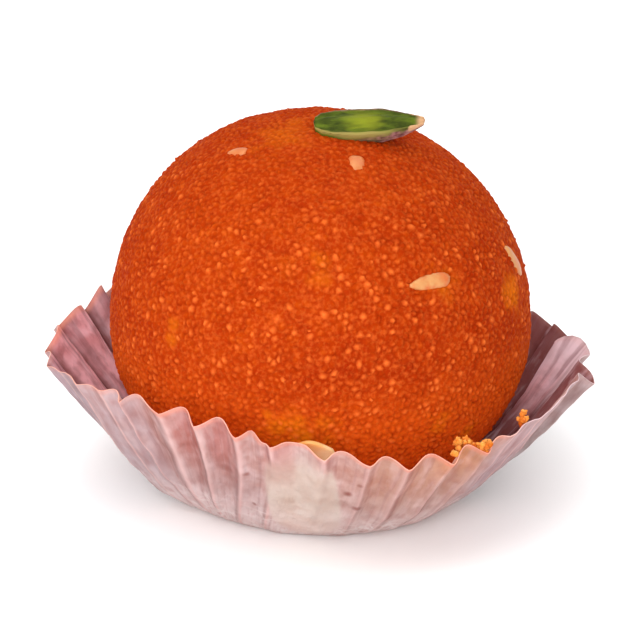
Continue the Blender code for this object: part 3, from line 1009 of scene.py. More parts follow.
# %% How the folds run
FOOT_FLAT_RADIUS = 13.8 * MM
FOOT_RADIUS = 15.0 * MM
FOOT_LIFT = 0.35 * MM
FOOT_LEAST = 0.3
WALL_SLANT = 23.7 * MM
FOLD_REACH = 0.95 * MM  # of a usual fold, at the rim
FOLD_FADE = 1.25  # how soon it dies away toward the foot
FOLD_SHARPNESS = 1.5  # 2 is an even wave; below that the outer fold is the narrower one
FOLD_WANDER = 0.14
FOLD_UNEVEN = (0.75, 1.25)
FOLD_VALLEY_MOST = 1.3
COLUMNS_PER_FOLD = 14
CREASES_ACROSS = 8.0  # a crease takes up an eighth of a fold on either side
WALL_ROWS = 40
FLOOR_ROWS = 6
# outward folds in degrees round from the front, those that the photograph shows
FOLDS_SHOWN = (
    128.5, 121.7, 109.5, 98.5, 87.0, 77.0, 68.0, 60.0, 52.0, 40.0, 30.0, 19.2, 11.0, -0.8,
    -10.2, -18.1, -28.0, -36.5, -45.0, -53.5, -62.0, -71.5, -80.0, -96.5, -110.0,
)
FOLDS_BEHIND = 13
# folds that reach farther out than the rest, or less far where the case was pulled open
FOLD_REACHES = {
    128.5: 1.2, 121.7: 1.3, 109.5: 1.4, 98.5: 1.0, 87.0: 0.4, 77.0: 0.2, 68.0: 0.2, 60.0: 0.15,
    -10.2: 0.55, -45.0: 0.2, -53.5: 0.06, -62.0: 0.06, -71.5: 0.1, -80.0: 1.0, -96.5: 0.15,
    -110.0: 1.3,
}
DEEP_VALLEYS = {-88.0: 1.3, -103.0: 2.2}
RIDGE_SHIFTS = {46.0: 2.8, 15.0: -0.3, -5.0: 0.6, -14.0: 0.5}  # where an inward ridge isn't halfway
RIM_JAG = (  # mm by which the rim stands higher between the folds
    (-180.0, 0.25), (-60.0, 0.0), (60.0, 0.0), (95.0, 0.1), (110.0, 0.3), (130.0, 0.4),
    (150.0, 0.3), (180.0, 0.25),
)
RIM_REACH = (  # mm by which the wall is longer or shorter, since the disc slipped to the left
    (-180.0, -0.3), (-150.0, -0.8), (-122.0, -1.7), (-110.0, -1.5), (-104.5, -2.8), (-100.0, -0.2),
    (-93.0, 0.0), (-88.0, -1.0), (-82.0, 0.2), (-79.0, 0.1), (-74.0, 0.8), (-68.0, 1.3), (-62.0, 1.3),
    (-56.0, 0.8), (-50.0, 0.8), (-38.0, 0.1), (0.0, 0.2), (7.0, 0.8), (16.0, 0.2), (30.0, 0.0),
    (52.0, 0.1), (62.0, 0.5), (80.0, 0.6), (92.0, 0.2), (98.0, 0.2), (109.0, 1.0), (118.0, 0.5),
    (128.0, 1.1), (145.0, 0.6), (180.0, -0.3),
)
LEAN = (  # degrees by which the wall leans outward
    (-180.0, 39.0), (-150.0, 42.0), (-122.0, 48.5), (-104.0, 47.0), (-80.0, 47.3),
    (-74.0, 44.6), (-68.0, 44.0), (-62.0, 45.2), (-56.0, 46.4), (-50.0, 46.6),
    (-40.0, 48.4), (-34.0, 49.0), (-22.0, 49.8), (-12.0, 47.8),
    (0.0, 44.6), (8.0, 42.3), (17.0, 39.6), (27.0, 37.6), (38.0, 36.8),
    (51.0, 38.2), (74.0, 43.0), (86.0, 47.3), (97.0, 48.8), (108.0, 48.0), (120.0, 47.8),
    (130.0, 46.5), (152.0, 42.0), (180.0, 39.0),
)
BELLY = (  # mm by which the wall bulges halfway up
    (-180.0, 1.75), (20.0, 1.75), (50.0, 1.9), (66.0, 2.7), (84.0, 2.1), (110.0, 1.75),
    (180.0, 1.75),
)
BELLY_LOW = 0.65  # a power below 1 puts the bulge lower
TWIST = (  # degrees by which a fold's foot lies farther to the left than its rim
    (-180.0, 0.0), (-20.0, 0.0), (-10.9, 3.0), (-0.8, 8.0), (11.0, 14.0), (19.2, 17.0),
    (30.0, 14.0), (40.0, 9.0), (52.0, 2.0), (70.0, 0.0), (180.0, 0.0),
)
TWIST_FADE = 2.0
FOLD_SHADE_SPAN = (0.03, 0.10, 0.26)  # share of a fold's width where the painted shade on its far side starts, is darkest, and ends
FOLD_SHADE_TURNS = 8.0  # the azimuth beyond which a fold's far side, painted in shade, is its left one
fold_rng = random.Random(41)
# one upright line of points: its azimuth, how far out it reaches, how near a crease it is,
# how deep in a fold, how much the rim rises there, and how much painted shade it gets as a far side
Column = namedtuple("Column", "azimuth out crease depth rise lee")


def wrapped(azimuth):
    """The same azimuth, between -180 and 180 degrees."""
    return (azimuth + 180.0) % 360.0 - 180.0


def between(keys, place):
    """A table of (place, value) pairs, read with eased curves between them."""
    for (start, low), (end, high) in zip(keys, keys[1:]):
        if place <= end:
            return low + (high - low) * smooth_step(start, end, place)
    return keys[-1][1]


def fold_list():
    """All outward folds as (azimuth, reach), in order round the case."""
    first = max(FOLDS_SHOWN)
    pitch = (min(FOLDS_SHOWN) + 360.0 - first) / (FOLDS_BEHIND + 1)
    folds = [(azimuth, FOLD_REACHES.get(azimuth, 1.0)) for azimuth in FOLDS_SHOWN]
    for i in range(FOLDS_BEHIND):
        azimuth = first + pitch * (i + 1 + fold_rng.uniform(-FOLD_WANDER, FOLD_WANDER))
        folds.append((azimuth - 360.0 if azimuth > 180.0 else azimuth, fold_rng.uniform(*FOLD_UNEVEN)))
    return sorted(folds)


def valley_between(start, end, reach, next_reach):
    """How far in the paper goes between two outward folds."""
    for place, depth in DEEP_VALLEYS.items():
        if start < place < end:
            return depth
    return 0.5 * (min(reach, FOLD_VALLEY_MOST) + min(next_reach, FOLD_VALLEY_MOST))


def fold_columns(folds):
    """Every column of the wall, in order round the case."""
    columns = []
    for i, (start, reach) in enumerate(folds):
        end, next_reach = folds[(i + 1) % len(folds)]
        if end <= start:
            end += 360.0
        valley = valley_between(start, end, reach, next_reach)
        shift = sum(move for place, move in RIDGE_SHIFTS.items() if start < place < end)
        for step in range(COLUMNS_PER_FOLD):
            share = step / COLUMNS_PER_FOLD
            shape = 1.0 - 2.0 * math.sin(math.pi * share) ** FOLD_SHARPNESS
            peak = reach if share < 0.5 else next_reach
            azimuth = start + (end - start) * share + shift * math.sin(math.pi * share)
            beyond = share if FOLD_SHADE_TURNS < azimuth < 180.0 else 1.0 - share
            lee = smooth_step(FOLD_SHADE_SPAN[0], FOLD_SHADE_SPAN[1], beyond) * (1.0 - smooth_step(FOLD_SHADE_SPAN[1], FOLD_SHADE_SPAN[2], beyond))
            columns.append(
                Column(
                    azimuth=azimuth,
                    out=shape * (peak if shape > 0.0 else valley),
                    crease=max(0.0, 1.0 - min(share, 1.0 - share) * CREASES_ACROSS),
                    depth=1.0 - math.sin(math.pi * share),
                    rise=-between(RIM_JAG, wrapped(azimuth)) * math.cos(2.0 * math.pi * share),
                    lee=lee * min(1.0, peak),
                )
            )
    return columns


folds = fold_list()
columns = fold_columns(folds)
print("folds:", len(folds), "columns:", len(columns))

# %% [markdown]
# ## Where each point of the paper goes
#
# A point of the wall is named by its column and by its share of the way up. It starts on a
# straight leaning line, then gets the belly, the wrinkles and its fold, and is last pushed
# outward until the ladoo and the flake fit inside. That order matters: paper never passes
# through what it holds, however deep a fold is.

# %% Paper, point by point
PAPER_THICKNESS = 0.10 * MM
BALL_CLEARANCE = 0.85 * MM
CLEARANCE_ROUNDING = 0.5 * MM
FLAKE_ROUNDING = 0.3 * MM
FLAKE_PAPER_GAP = 0.30 * MM
FLAKE_PRINT = (1.18, 1.5)  # how far round the flake its shape shows in the paper
IRONED = 0.7  # how far the stiff flake smooths out the folds over it
IRONED_BELOW = (0.7, 0.92)  # share of the wall where the folds start to come back, and are back
CRUMPLE = 0.22 * MM
CRUMPLE_SIZE = 4.0 * MM
WRINKLE = 0.13 * MM  # fine wrinkles that run up the wall
WRINKLE_WIDE, WRINKLE_TALL = 1.3 * MM, 7.0 * MM
CRINKLE = 0.10 * MM  # and small dents, as in any handled paper
CRINKLE_SIZE = 1.3 * MM
RIM_WANDER = 0.25 * MM
RIM_WAVES = 9.0


def clear_of_ladoo(point):
    """Push a point of the paper outward until the ladoo fits inside it."""
    away = point - BALL_CENTRE
    direction = away.normalized()
    least = ball_radius(direction) + BALL_CLEARANCE
    return BALL_CENTRE + direction * at_least(away.length, least, CLEARANCE_ROUNDING)


flake_frame = flake_place()
flake_frame_back = flake_frame.inverted()


def flake_span(local):
    """How far out on the flake a point lies: 0 in its middle, 1 on its edge."""
    side = abs(local.x) / (0.5 * FLAKE_WIDTH)
    end = abs(local.y) / (0.5 * FLAKE_LENGTH)
    return (side**3 + end**3) ** (1.0 / 3.0)


def clear_of_flake(point):
    """Push a point of the paper outward over the almond flake behind it."""
    local = flake_frame_back @ point
    over = 1.0 - smooth_step(*FLAKE_PRINT, flake_span(local))
    face = 0.5 * FLAKE_THICKNESS + FLAKE_PAPER_GAP + PAPER_THICKNESS
    local.z += (at_least(local.z, face, FLAKE_ROUNDING) - local.z) * over
    return flake_frame @ local


def twisted(azimuth, share):
    """Where a column stands at this share of the wall's height."""
    return azimuth + between(TWIST, wrapped(azimuth)) * (1.0 - share) ** TWIST_FADE


def crinkle_at(point, azimuth, share):
    """Fine wrinkles that run up the wall, and small dents."""
    round_it = math.radians(azimuth) * FOOT_RADIUS
    drawn = Vector((round_it / WRINKLE_WIDE, WALL_SLANT * share / WRINKLE_TALL, 3.0))
    return WRINKLE * noise.noise(drawn) + CRINKLE * noise.noise(point / CRINKLE_SIZE)


def wall_point(azimuth, share, out, rise=0.0):
    """A point of the wall's outer face: share 0 at the foot, 1 at the rim."""
    turned = wrapped(azimuth)
    lean = math.radians(between(LEAN, turned))
    flat = heading(math.radians(azimuth))
    along = flat * math.sin(lean) + UP * math.cos(lean)
    outward = flat * math.cos(lean) - UP * math.sin(lean)
    longer = between(RIM_REACH, turned) * share**2 + rise * share**4
    wander = RIM_WANDER * noise.noise(flat * RIM_WAVES) * share**3 + MM * longer
    point = flat * FOOT_RADIUS + along * (WALL_SLANT * share + wander)
    belly = MM * between(BELLY, turned) * math.sin(math.pi * share**BELLY_LOW)
    crumple = CRUMPLE * noise.noise(point / CRUMPLE_SIZE) * min(1.0, 4.0 * share)
    crinkle = crinkle_at(point, azimuth, share) * min(1.0, 3.0 * share)
    point += outward * (belly + crumple + crinkle)
    ironed = IRONED * (1.0 - smooth_step(*FLAKE_PRINT, flake_span(flake_frame_back @ point)))
    ironed *= 1.0 - smooth_step(*IRONED_BELOW, share)
    point += outward * (out * FOLD_REACH * share**FOLD_FADE * (1.0 - ironed))
    point = clear_of_flake(clear_of_ladoo(point))
    point.z = max(point.z, FOOT_LEAST * FOOT_LIFT)
    return point


def foot_point(azimuth, radius, height):
    """A point of the floor or of the bend round it."""
    point = heading(math.radians(azimuth)) * radius + UP * height
    if height > 0.0:
        point = clear_of_flake(point)
        point.z = max(point.z, FOOT_LEAST * height)
    return point


print("rim at the front, mm:", [round(c / MM, 1) for c in wall_point(0.0, 1.0, 0.0)])

# %% [markdown]
# ## What each point of the paper shows
#
# Thin paper takes its colour from what is behind it and from what it has soaked up, and
# folded paper from its creases, its light and its shadows. Each of these is a value on the
# mesh, 0 to 1, worked out from where the point lies, so the light and shade here are painted.
# Kept on the mesh, they stay where they are from every side, and the finish only has to turn
# them into colours.

# %% What lies behind each point of the paper
TOUCHES = (0.9 * MM, 3.6 * MM)  # gap to the ladoo where the paper takes its colour, painted as seen through, and where none
ALMOND_SHOWS = (0.90, 1.04)
TOUCH_HEIGHTS = (0.12, 0.55)  # low down several layers of fold keep the colour out
LOW_TOUCH = 0.3
ALMOND_NEAR = 4.0 * MM  # the flake shows through from no farther off
ALMOND_SOAKED = 0.75  # how much less its syrupy top shows
SOAKED_END = (0.5, 0.95)
LIT_PLEATS = (  # azimuth, half width (degrees), strength: painted light on a flap that faces the light
    (-99.0, 7.5, 1.0),
)
GREY_AND_SHADED_PLEATS = (  # the same, for grey paper: partly painted shade, partly paper that stands alone
    (-58.0, 20.0, 0.8),
    (62.0, 16.0, 0.6),
    (82.0, 18.0, 0.95),
)
BLUSH = (  # the same, for folds whose top lies against the ladoo: its orange seen through, painted
    (9.5, 5.0, 0.4),
    (24.5, 5.0, 0.65),
    (36.0, 4.5, 0.6),
)
PLEAT_CORE = 0.55  # share of a pleat's half width that shows in full
OILY = (-27.0, 30.0)  # azimuth and half width of the patch where oil has soaked in
OILY_CORE = 0.3
AMBER = (-31.0, 8.0)  # the same, where the loose pearls behind the rim show through it, painted
AMBER_CORE = 0.2
SHADE = (  # azimuth, how far the inner face lies in the shadow of the ladoo or of a fold
    (-180.0, 1.0), (-107.0, 1.0), (-103.0, 0.0), (-96.0, 0.0), (-92.0, 0.9), (-60.0, 0.9),
    (-50.0, 0.0), (115.0, 0.0), (137.0, 1.0), (180.0, 1.0),
)
LOW_SHADE = (0.75, 0.35)  # share of the right wall where the ladoo shades it, and fully
CREASE_STRENGTH = (  # azimuth, how strongly the creases show there: painted highlight and doubled paper outside, painted shade inside
    (-180.0, 1.0), (-60.0, 0.8), (-36.0, 0.55), (-8.0, 0.55), (8.0, 1.0), (180.0, 1.0),
)
CREASES_IRONED = 0.85  # no creases over the stiff flake
HIDDEN = (80.0, 64.0)  # degrees from the front; nearer, the inner face only tints light on its way out
DRY_AND_DIM_RIM = (-38.0, -50.0)  # from here to the right the rim has neither syrup nor the painted glow


def patch_at(place, half, core, turned):
    """1 in the middle of a patch round this azimuth, 0 at its half width."""
    return 1.0 - smooth_step(core, 1.0, abs(turned - place) / half)


def pleats_at(pleats, turned):
    """How strongly one of these pleats shows at this azimuth, 0 to 1."""
    return max(
        strength * patch_at(place, half, PLEAT_CORE, turned) for place, half, strength in pleats
    )


def touch_at(point, share):
    """How near the ladoo lies behind this point of the paper, 0 to 1."""
    away = point - BALL_CENTRE
    near = 1.0 - smooth_step(*TOUCHES, away.length - ball_radius(away.normalized()))
    return near * (LOW_TOUCH + (1.0 - LOW_TOUCH) * smooth_step(*TOUCH_HEIGHTS, share))


def almond_at(point):
    """1 where the almond flake lies behind the paper."""
    local = flake_frame_back @ point
    if not 0.0 < local.z < ALMOND_NEAR:
        return 0.0
    soaked = ALMOND_SOAKED * smooth_step(*SOAKED_END, local.y / (0.5 * FLAKE_LENGTH))
    return (1.0 - smooth_step(*ALMOND_SHOWS, flake_span(local))) * (1.0 - soaked)


def wall_values(point, column, share):
    """What the finish has to know of a point of the wall."""
    turned = wrapped(column.azimuth)
    loose = 1.0 - CREASES_IRONED * almond_at(point)
    shaded_low = smooth_step(*LOW_SHADE, share) if turned < 0.0 else 0.0
    oily = patch_at(*OILY, OILY_CORE, turned)
    return {
        "up_wall": share,
        "crease": column.crease * loose * between(CREASE_STRENGTH, turned),
        "fold": column.depth * loose,
        "lee": column.lee * loose * smooth_step(0.05, 0.25, share),
        "pale": pleats_at(LIT_PLEATS, turned) * smooth_step(0.50, 0.95, share),
        "grey": pleats_at(GREY_AND_SHADED_PLEATS, turned) * smooth_step(0.05, 0.4, share),
        "shade": max(between(SHADE, turned), shaded_low),
        "oily": oily * (0.3 + 0.7 * smooth_step(0.2, 0.9, share)),
        "amber": patch_at(*AMBER, AMBER_CORE, turned) * smooth_step(0.72, 1.0, share),
        "blush": pleats_at(BLUSH, turned) * smooth_step(0.5, 0.85, share),
        "dry_and_dim": smooth_step(*DRY_AND_DIM_RIM, turned),
    }


halfway = wall_point(0.0, 0.5, 0.0)
print("halfway up the front, how much ladoo shows through:", round(touch_at(halfway, 0.5), 2))

# %% [markdown]
# ## Lathing the cup and pressing the flutes
#
# The cup's outline is a chain of points: floor, bend and wall. A spin turns it once round
# with one step for each column, and its ends are merged. Then every point is sent to its
# own place and given its values. Only the outer face is modelled; a Solidify modifier adds
# the thickness, and gives the inner face and the cut rim materials of their own.

# %% Lathe the cup and press the flutes
MERGE = 0.02 * MM
PAPER_VALUES = (
    "up_wall", "round", "crease", "fold", "lee", "touch", "almond", "pale", "grey", "shade",
    "oily", "amber", "blush", "dry_and_dim", "hidden",
)


def face_outward(bm):
    """Turn an open cup's faces to the outside, where the material of the outside goes."""
    bmesh.ops.recalc_face_normals(bm, faces=bm.faces[:])
    outward = sum(face.normal.dot(face.calc_center_median() - BALL_CENTRE) for face in bm.faces)
    if outward < 0.0:
        bmesh.ops.reverse_faces(bm, faces=bm.faces[:])


def lathe_cup(steps):
    """A plain cup: floor, bend and wall, spun once round."""
    profile = [(FOOT_FLAT_RADIUS * i / FLOOR_ROWS, 0.0) for i in range(FLOOR_ROWS + 1)]
    profile.append((FOOT_RADIUS, FOOT_LIFT))
    for row in range(1, WALL_ROWS + 1):
        share = row / WALL_ROWS
        profile.append((FOOT_RADIUS + WALL_SLANT * share, WALL_SLANT * share))
    bm = bmesh.new()
    verts = [bm.verts.new((radius, 0.0, height)) for radius, height in profile]
    edges = [bm.edges.new(pair) for pair in zip(verts, verts[1:])]
    bmesh.ops.spin(
        bm,
        geom=verts + edges,
        cent=(0.0, 0.0, 0.0),
        axis=(0.0, 0.0, 1.0),
        angle=2.0 * math.pi,
        steps=steps,
        use_merge=True,
        use_duplicate=False,
    )
    bmesh.ops.remove_doubles(bm, verts=bm.verts[:], dist=MERGE)
    return bm


def case_mesh():
    """The case's outer face, then its thickness."""
    count = len(columns)
    bm = lathe_cup(count)
    layers = {key: bm.verts.layers.float.new(key) for key in PAPER_VALUES}
    for vert in bm.verts:
        radius = math.hypot(vert.co.x, vert.co.y)
        if radius < MERGE:
            continue
        turn = math.atan2(vert.co.y, vert.co.x) / (2.0 * math.pi)
        column = columns[round(turn * count) % count]
        share = (radius - FOOT_RADIUS) / WALL_SLANT
        values = {}
        if share > 0.5 / WALL_ROWS:
            vert.co = wall_point(twisted(column.azimuth, share), share, column.out, column.rise)
            values = wall_values(vert.co, column, share)
        else:
            vert.co = foot_point(twisted(column.azimuth, 0.0), radius, vert.co.z)
        values["round"] = math.radians(column.azimuth) * FOOT_RADIUS
        values["hidden"] = smooth_step(*HIDDEN, abs(wrapped(column.azimuth)))
        values["touch"] = touch_at(vert.co, share)
        values["almond"] = almond_at(vert.co)
        for key, value in values.items():
            vert[layers[key]] = value
    face_outward(bm)
    case = new_object("greaseproof_case", bm)
    thicken = case.modifiers.new("thickness", "SOLIDIFY")
    thicken.thickness = PAPER_THICKNESS
    thicken.offset = -1.0
    thicken.material_offset = 1
    thicken.material_offset_rim = 2
    return case


case = case_mesh()
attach(case, "root")
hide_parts("paper_case")
print("case faces:", len(case.data.polygons))

# %% [markdown]
# ## Greaseproof paper
#
# This paper lets light through but blurs what is behind it: where it touches the ladoo it
# turns salmon, where the almond lies behind it is cream, and where nothing is behind it
# is a cool mauve grey. A Translucent shader takes in the light from the other side and
# scatters it, as such paper does, and it is mixed with a plain sheet that shows the light
# from this side. The salmon and the cream are painted in as well, and so are light and
# shade on the folds. Up close the paper is fibres, fine wrinkles and a few oil specks. The
# first cell makes those.

# %% Specks, streaks and crumples
OIL_SPECKS = (  # azimuth (degrees), share of the wall, radius (mm)
    (26.6, 0.63, 0.62),
    (19.7, 0.68, 0.40),
    (21.1, 0.38, 0.30),
    (-6.7, 0.66, 0.45),
    (-9.6, 0.53, 0.50),
    (-9.3, 0.77, 0.35),
    (-64.0, 0.55, 0.40),
    (140.0, 0.60, 0.60),
)
SPECK_EDGE = (0.4, 1.6)  # radii between which a speck fades
STREAK_DETAIL = 4.0
CRUMPLE_CELL, CRUMPLE_PATCH = 1.4 * MM, 3.5 * MM


def speck_mask(nodes, link):
    """1 inside the small oil specks, 0 elsewhere."""
    place = nodes.new("ShaderNodeTexCoord")
    most = None
    for azimuth, share, radius in OIL_SPECKS:
        away = nodes.new("ShaderNodeVectorMath")
        away.operation = "DISTANCE"
        link(place.outputs["Object"], away.inputs[0])
        away.inputs[1].default_value = wall_point(azimuth, share, 0.0)
        fade = tuple(edge * radius * MM for edge in SPECK_EDGE)
        spot = ranged(nodes, link, away.outputs["Value"], fade, (1.0, 0.0))
        most = spot if most is None else arithmetic(nodes, link, "MAXIMUM", most, spot)
    return most


def streaks(nodes, link, wide, tall):
    """Noise drawn out up the wall: features this wide and tall, in millimetres."""
    place = nodes.new("ShaderNodeCombineXYZ")
    for socket, value, size in (("X", "round", wide * MM), ("Y", "up_wall", tall * MM / WALL_SLANT)):
        scaled = arithmetic(nodes, link, "MULTIPLY", reading(nodes, value), 1.0 / size)
        link(scaled, place.inputs[socket])
    return noise_at(nodes, link, place.outputs["Vector"], STREAK_DETAIL)


def product(nodes, link, first, second):
    """Two sockets multiplied."""
    return arithmetic(nodes, link, "MULTIPLY", first, second)


def crumple_glints(nodes, link):
    """Thin white lines of painted highlight where the paper was creased near its foot, 0 to 1."""
    place = nodes.new("ShaderNodeTexCoord")
    cells = nodes.new("ShaderNodeTexVoronoi")
    cells.feature = "DISTANCE_TO_EDGE"
    cells.inputs["Scale"].default_value = 1.0 / CRUMPLE_CELL
    link(place.outputs["Object"], cells.inputs["Vector"])
    lines = ranged(nodes, link, cells.outputs["Distance"], (0.02, 0.14), (1.0, 0.0))
    low = shown(nodes, link, "up_wall", (0.10, 0.45), (1.0, 0.0))
    patches = patchy(nodes, link, CRUMPLE_PATCH, (0.42, 0.6), (0.1, 1.0))
    return product(nodes, link, product(nodes, link, lines, low), patches)


def off_the_almond(nodes, link):
    """0 over the almond flake, whose flat face holds the paper smooth, and 1 elsewhere."""
    return shown(nodes, link, "almond", (0.0, 0.8), (1.0, 0.1))


print("oil specks:", len(OIL_SPECKS))

# %% [markdown]
# ## Colours laid over each other
#
# A finish with so many causes is easier to follow as a stack than as a web of nodes. Each
# row names what shows, the range in which it shows, how much of the tint it brings, and
# the tint; several rows are painted light and shade. The rows are laid over the plain
# paper from the first to the last, and a salmon band on the rim, painted glow and syrup,
# comes over them all. The outer face, the inner face and the cut rim each have a stack of
# their own.

# %% Paper finish
# salmon rim band: painted glow of the ladoo's light through the edge, and syrup
RIM_GLOW_AND_SYRUP = srgb(240, 170, 146)
SPECK_BROWN = srgb(150, 76, 62)
RIM_BAND = (0.962, 0.988)  # share of the wall where the salmon rim of painted glow and syrup starts and is full
RIM_PATCH = 2.5 * MM
CLOUD = 2.2 * MM
STREAK, DARK, FINE = (0.5, 5.0), (0.6, 2.5), (0.3, 14.0)  # mm, how wide and how tall
WRINKLED_PATCH = 1.3 * MM
PAPER_BUMP = 0.45 * MM
PAPER_SURFACE = {"Roughness": 0.42, "Specular IOR Level": 0.4}


def rim_glow_and_syrup(nodes, link):
    """A thin, patchy salmon band on the rim: the painted glow of the ladoo's light through the paper's
    edge, and syrup; fainter where the paper stayed grey or dry.
    """
    band = shown(nodes, link, "up_wall", RIM_BAND, FULL)
    patches = patchy(nodes, link, RIM_PATCH, (0.3, 0.6), (0.12, 0.65))
    clean = shown(nodes, link, "grey", (0.0, 0.8), (1.0, 0.35))
    dry_and_dim = shown(nodes, link, "dry_and_dim", FULL, (1.0, 0.2))
    stained = product(nodes, link, product(nodes, link, patches, clean), dry_and_dim)
    return product(nodes, link, band, stained)


def layered(nodes, link, layers, patterns):
    """The plain paper with every layer over it; patterns are those that aren't on the mesh."""
    colour = layers[0]
    for value, old, new, tint in layers[1:]:
        share = ranged(nodes, link, patterns.get(value) or reading(nodes, value), old, new)
        if value in patterns:
            share = product(nodes, link, share, off_the_almond(nodes, link))
        colour = mix_colours(nodes, link, share, colour, tint)
    return mix_colours(nodes, link, rim_glow_and_syrup(nodes, link), colour, RIM_GLOW_AND_SYRUP)


def paper_finish(name, layers, see_through, with_specks):
    """Thin greaseproof paper: a plain sheet mixed with a translucent one."""
    material, nodes, link, shader = new_material(name)
    cloud = noise_value(nodes, link, CLOUD, 4.0)
    streak = streaks(nodes, link, *STREAK)
    patterns = {
        "cloud": cloud,
        "streak": streak,
        "dark": streaks(nodes, link, *DARK),
        "fine": streaks(nodes, link, *FINE),
        "glint": crumple_glints(nodes, link),
    }
    colour = layered(nodes, link, layers, patterns)
    if with_specks:
        specks = ranged(nodes, link, speck_mask(nodes, link), FULL, (0.0, 0.75))
        colour = mix_colours(nodes, link, specks, colour, SPECK_BROWN)
    link(colour, shader.inputs["Base Color"])
    set_inputs(shader, PAPER_SURFACE)
    wrinkled = patchy(nodes, link, WRINKLED_PATCH, MOST_NOISE, (0.35, 1.0), 2.0)
    add_bump(nodes, link, shader, product(nodes, link, streak, wrinkled), PAPER_BUMP, 0.7)
    through = nodes.new("ShaderNodeBsdfTranslucent")
    link(colour, through.inputs["Color"])
    sheet = nodes.new("ShaderNodeMixShader")
    link(ranged(nodes, link, cloud, (0.3, 0.7), see_through), sheet.inputs["Fac"])
    link(shader.outputs["BSDF"], sheet.inputs[1])
    link(through.outputs["BSDF"], sheet.inputs[2])
    link(sheet.outputs["Shader"], nodes["Material Output"].inputs["Surface"])
    return material


# %% The three stacks
OUTSIDE = (  # the plain paper, then (what shows, its range, how much of the tint, tint)
    srgb(218, 198, 198),
    ("cloud", MOST_NOISE, (0.0, 0.8), srgb(198, 162, 154)),
    # painted light: paler toward the foot
    ("up_wall", (0.75, 0.05), (0.0, 0.95), srgb(228, 222, 226)),
    # painted: the ladoo's orange and, below, the almond's cream as seen through the paper
    ("touch", FULL, (0.0, 0.9), srgb(186, 118, 106)),
    ("oily", FULL, (0.0, 0.8), srgb(198, 160, 136)),
    ("almond", FULL, (0.0, 0.9), srgb(224, 220, 212)),
    ("fold", FULL, (-0.2, 0.45), srgb(216, 194, 194)),
    # grey: partly painted shade, partly paper with nothing behind it
    ("grey", FULL, (0.0, 0.9), srgb(196, 184, 194)),
    ("blush", FULL, (0.0, 0.7), srgb(196, 112, 104)),
    # painted light: paler still at the foot
    ("up_wall", (0.5, 0.08), (0.0, 0.95), srgb(250, 243, 242)),
    # the loose pearls behind the rim, seen through the paper, painted
    ("amber", FULL, (0.0, 0.8), srgb(228, 170, 116)),
    # painted light on the flap that faces the light
    ("pale", FULL, (0.0, 0.9), srgb(250, 244, 250)),
    # painted shade on the side of each fold turned from the light
    ("lee", FULL, (0.0, 0.6), srgb(150, 102, 100)),
    ("dark", (0.50, 0.66), (0.0, 0.3), srgb(178, 128, 122)),
    ("fine", (0.52, 0.66), (0.0, 0.3), srgb(168, 124, 128)),
    ("streak", (0.50, 0.66), (0.0, 0.3), srgb(238, 222, 222)),
    # white along the outer creases: painted highlight, and the doubled paper at the fold
    ("crease", (0.2, 0.9), (0.0, 0.85), srgb(240, 214, 212)),
    # painted highlights on the crumples near the foot
    ("glint", FULL, FULL, srgb(255, 254, 254)),
)
INSIDE = (
    srgb(244, 194, 200),
    ("cloud", MOST_NOISE, FULL, srgb(224, 162, 168)),
    # painted shade deep in the cup, darker toward the foot
    ("up_wall", (0.6, 0.05), (0.0, 0.95), srgb(150, 88, 88)),
    # painted shade and the ladoo's reflected orange where the paper lies close to it
    ("touch", FULL, (0.0, 0.85), srgb(168, 92, 84)),
    ("shade", FULL, (0.0, 0.85), srgb(120, 60, 52)),
    # painted shade in the hollows of the folds and in the inner creases
    ("fold", FULL, (-0.45, 0.85), srgb(106, 50, 48)),
    ("crease", (0.1, 0.9), (0.0, 0.85), srgb(96, 46, 44)),
    # painted reflection of the ladoo's orange on the inner face next to it
    ("touch", (0.2, 1.0), (0.0, 0.6), srgb(160, 62, 34)),
    ("dark", (0.48, 0.62), (0.0, 0.45), srgb(152, 98, 98)),
    # painted light on the flap that faces the light
    ("pale", FULL, (0.0, 0.9), srgb(226, 204, 206)),
    ("fine", (0.48, 0.64), (0.0, 0.5), srgb(150, 106, 110)),
    ("streak", (0.52, 0.66), (0.0, 0.35), srgb(236, 212, 220)),
    ("hidden", FULL, (0.0, 0.9), srgb(250, 222, 212)),
)
RIM = (
    # the cut edge: salmon for the painted glow of the ladoo's light and for syrup, paler where neither
    # reached
    srgb(244, 186, 164),
    ("dry_and_dim", FULL, (0.0, 0.9), srgb(226, 204, 210)),
)
for name, layers, see_through, with_specks in (
    ("greaseproof_outside", OUTSIDE, (0.55, 0.70), True),
    ("greaseproof_inside", INSIDE, (0.60, 0.75), False),
    ("greaseproof_rim", RIM, (0.2, 0.3), False),
):
    case.data.materials.append(paper_finish(name, layers, see_through, with_specks))
print("finishes of the paper:", [material.name for material in case.data.materials])

# %% [markdown]
# ## Loose pearls on the rim
#
# A few pearls broke off and stuck to the inside of the rim at the front right. They are
# paler than the ball, since light passes right through them. They rest on the paper's
# inner face, so each takes its place from the wall, and is then moved until it touches the
# paper without cutting into it. A tree of the paper's faces finds the nearest one quickly.

# %% Loose pearls
from mathutils.bvhtree import BVHTree

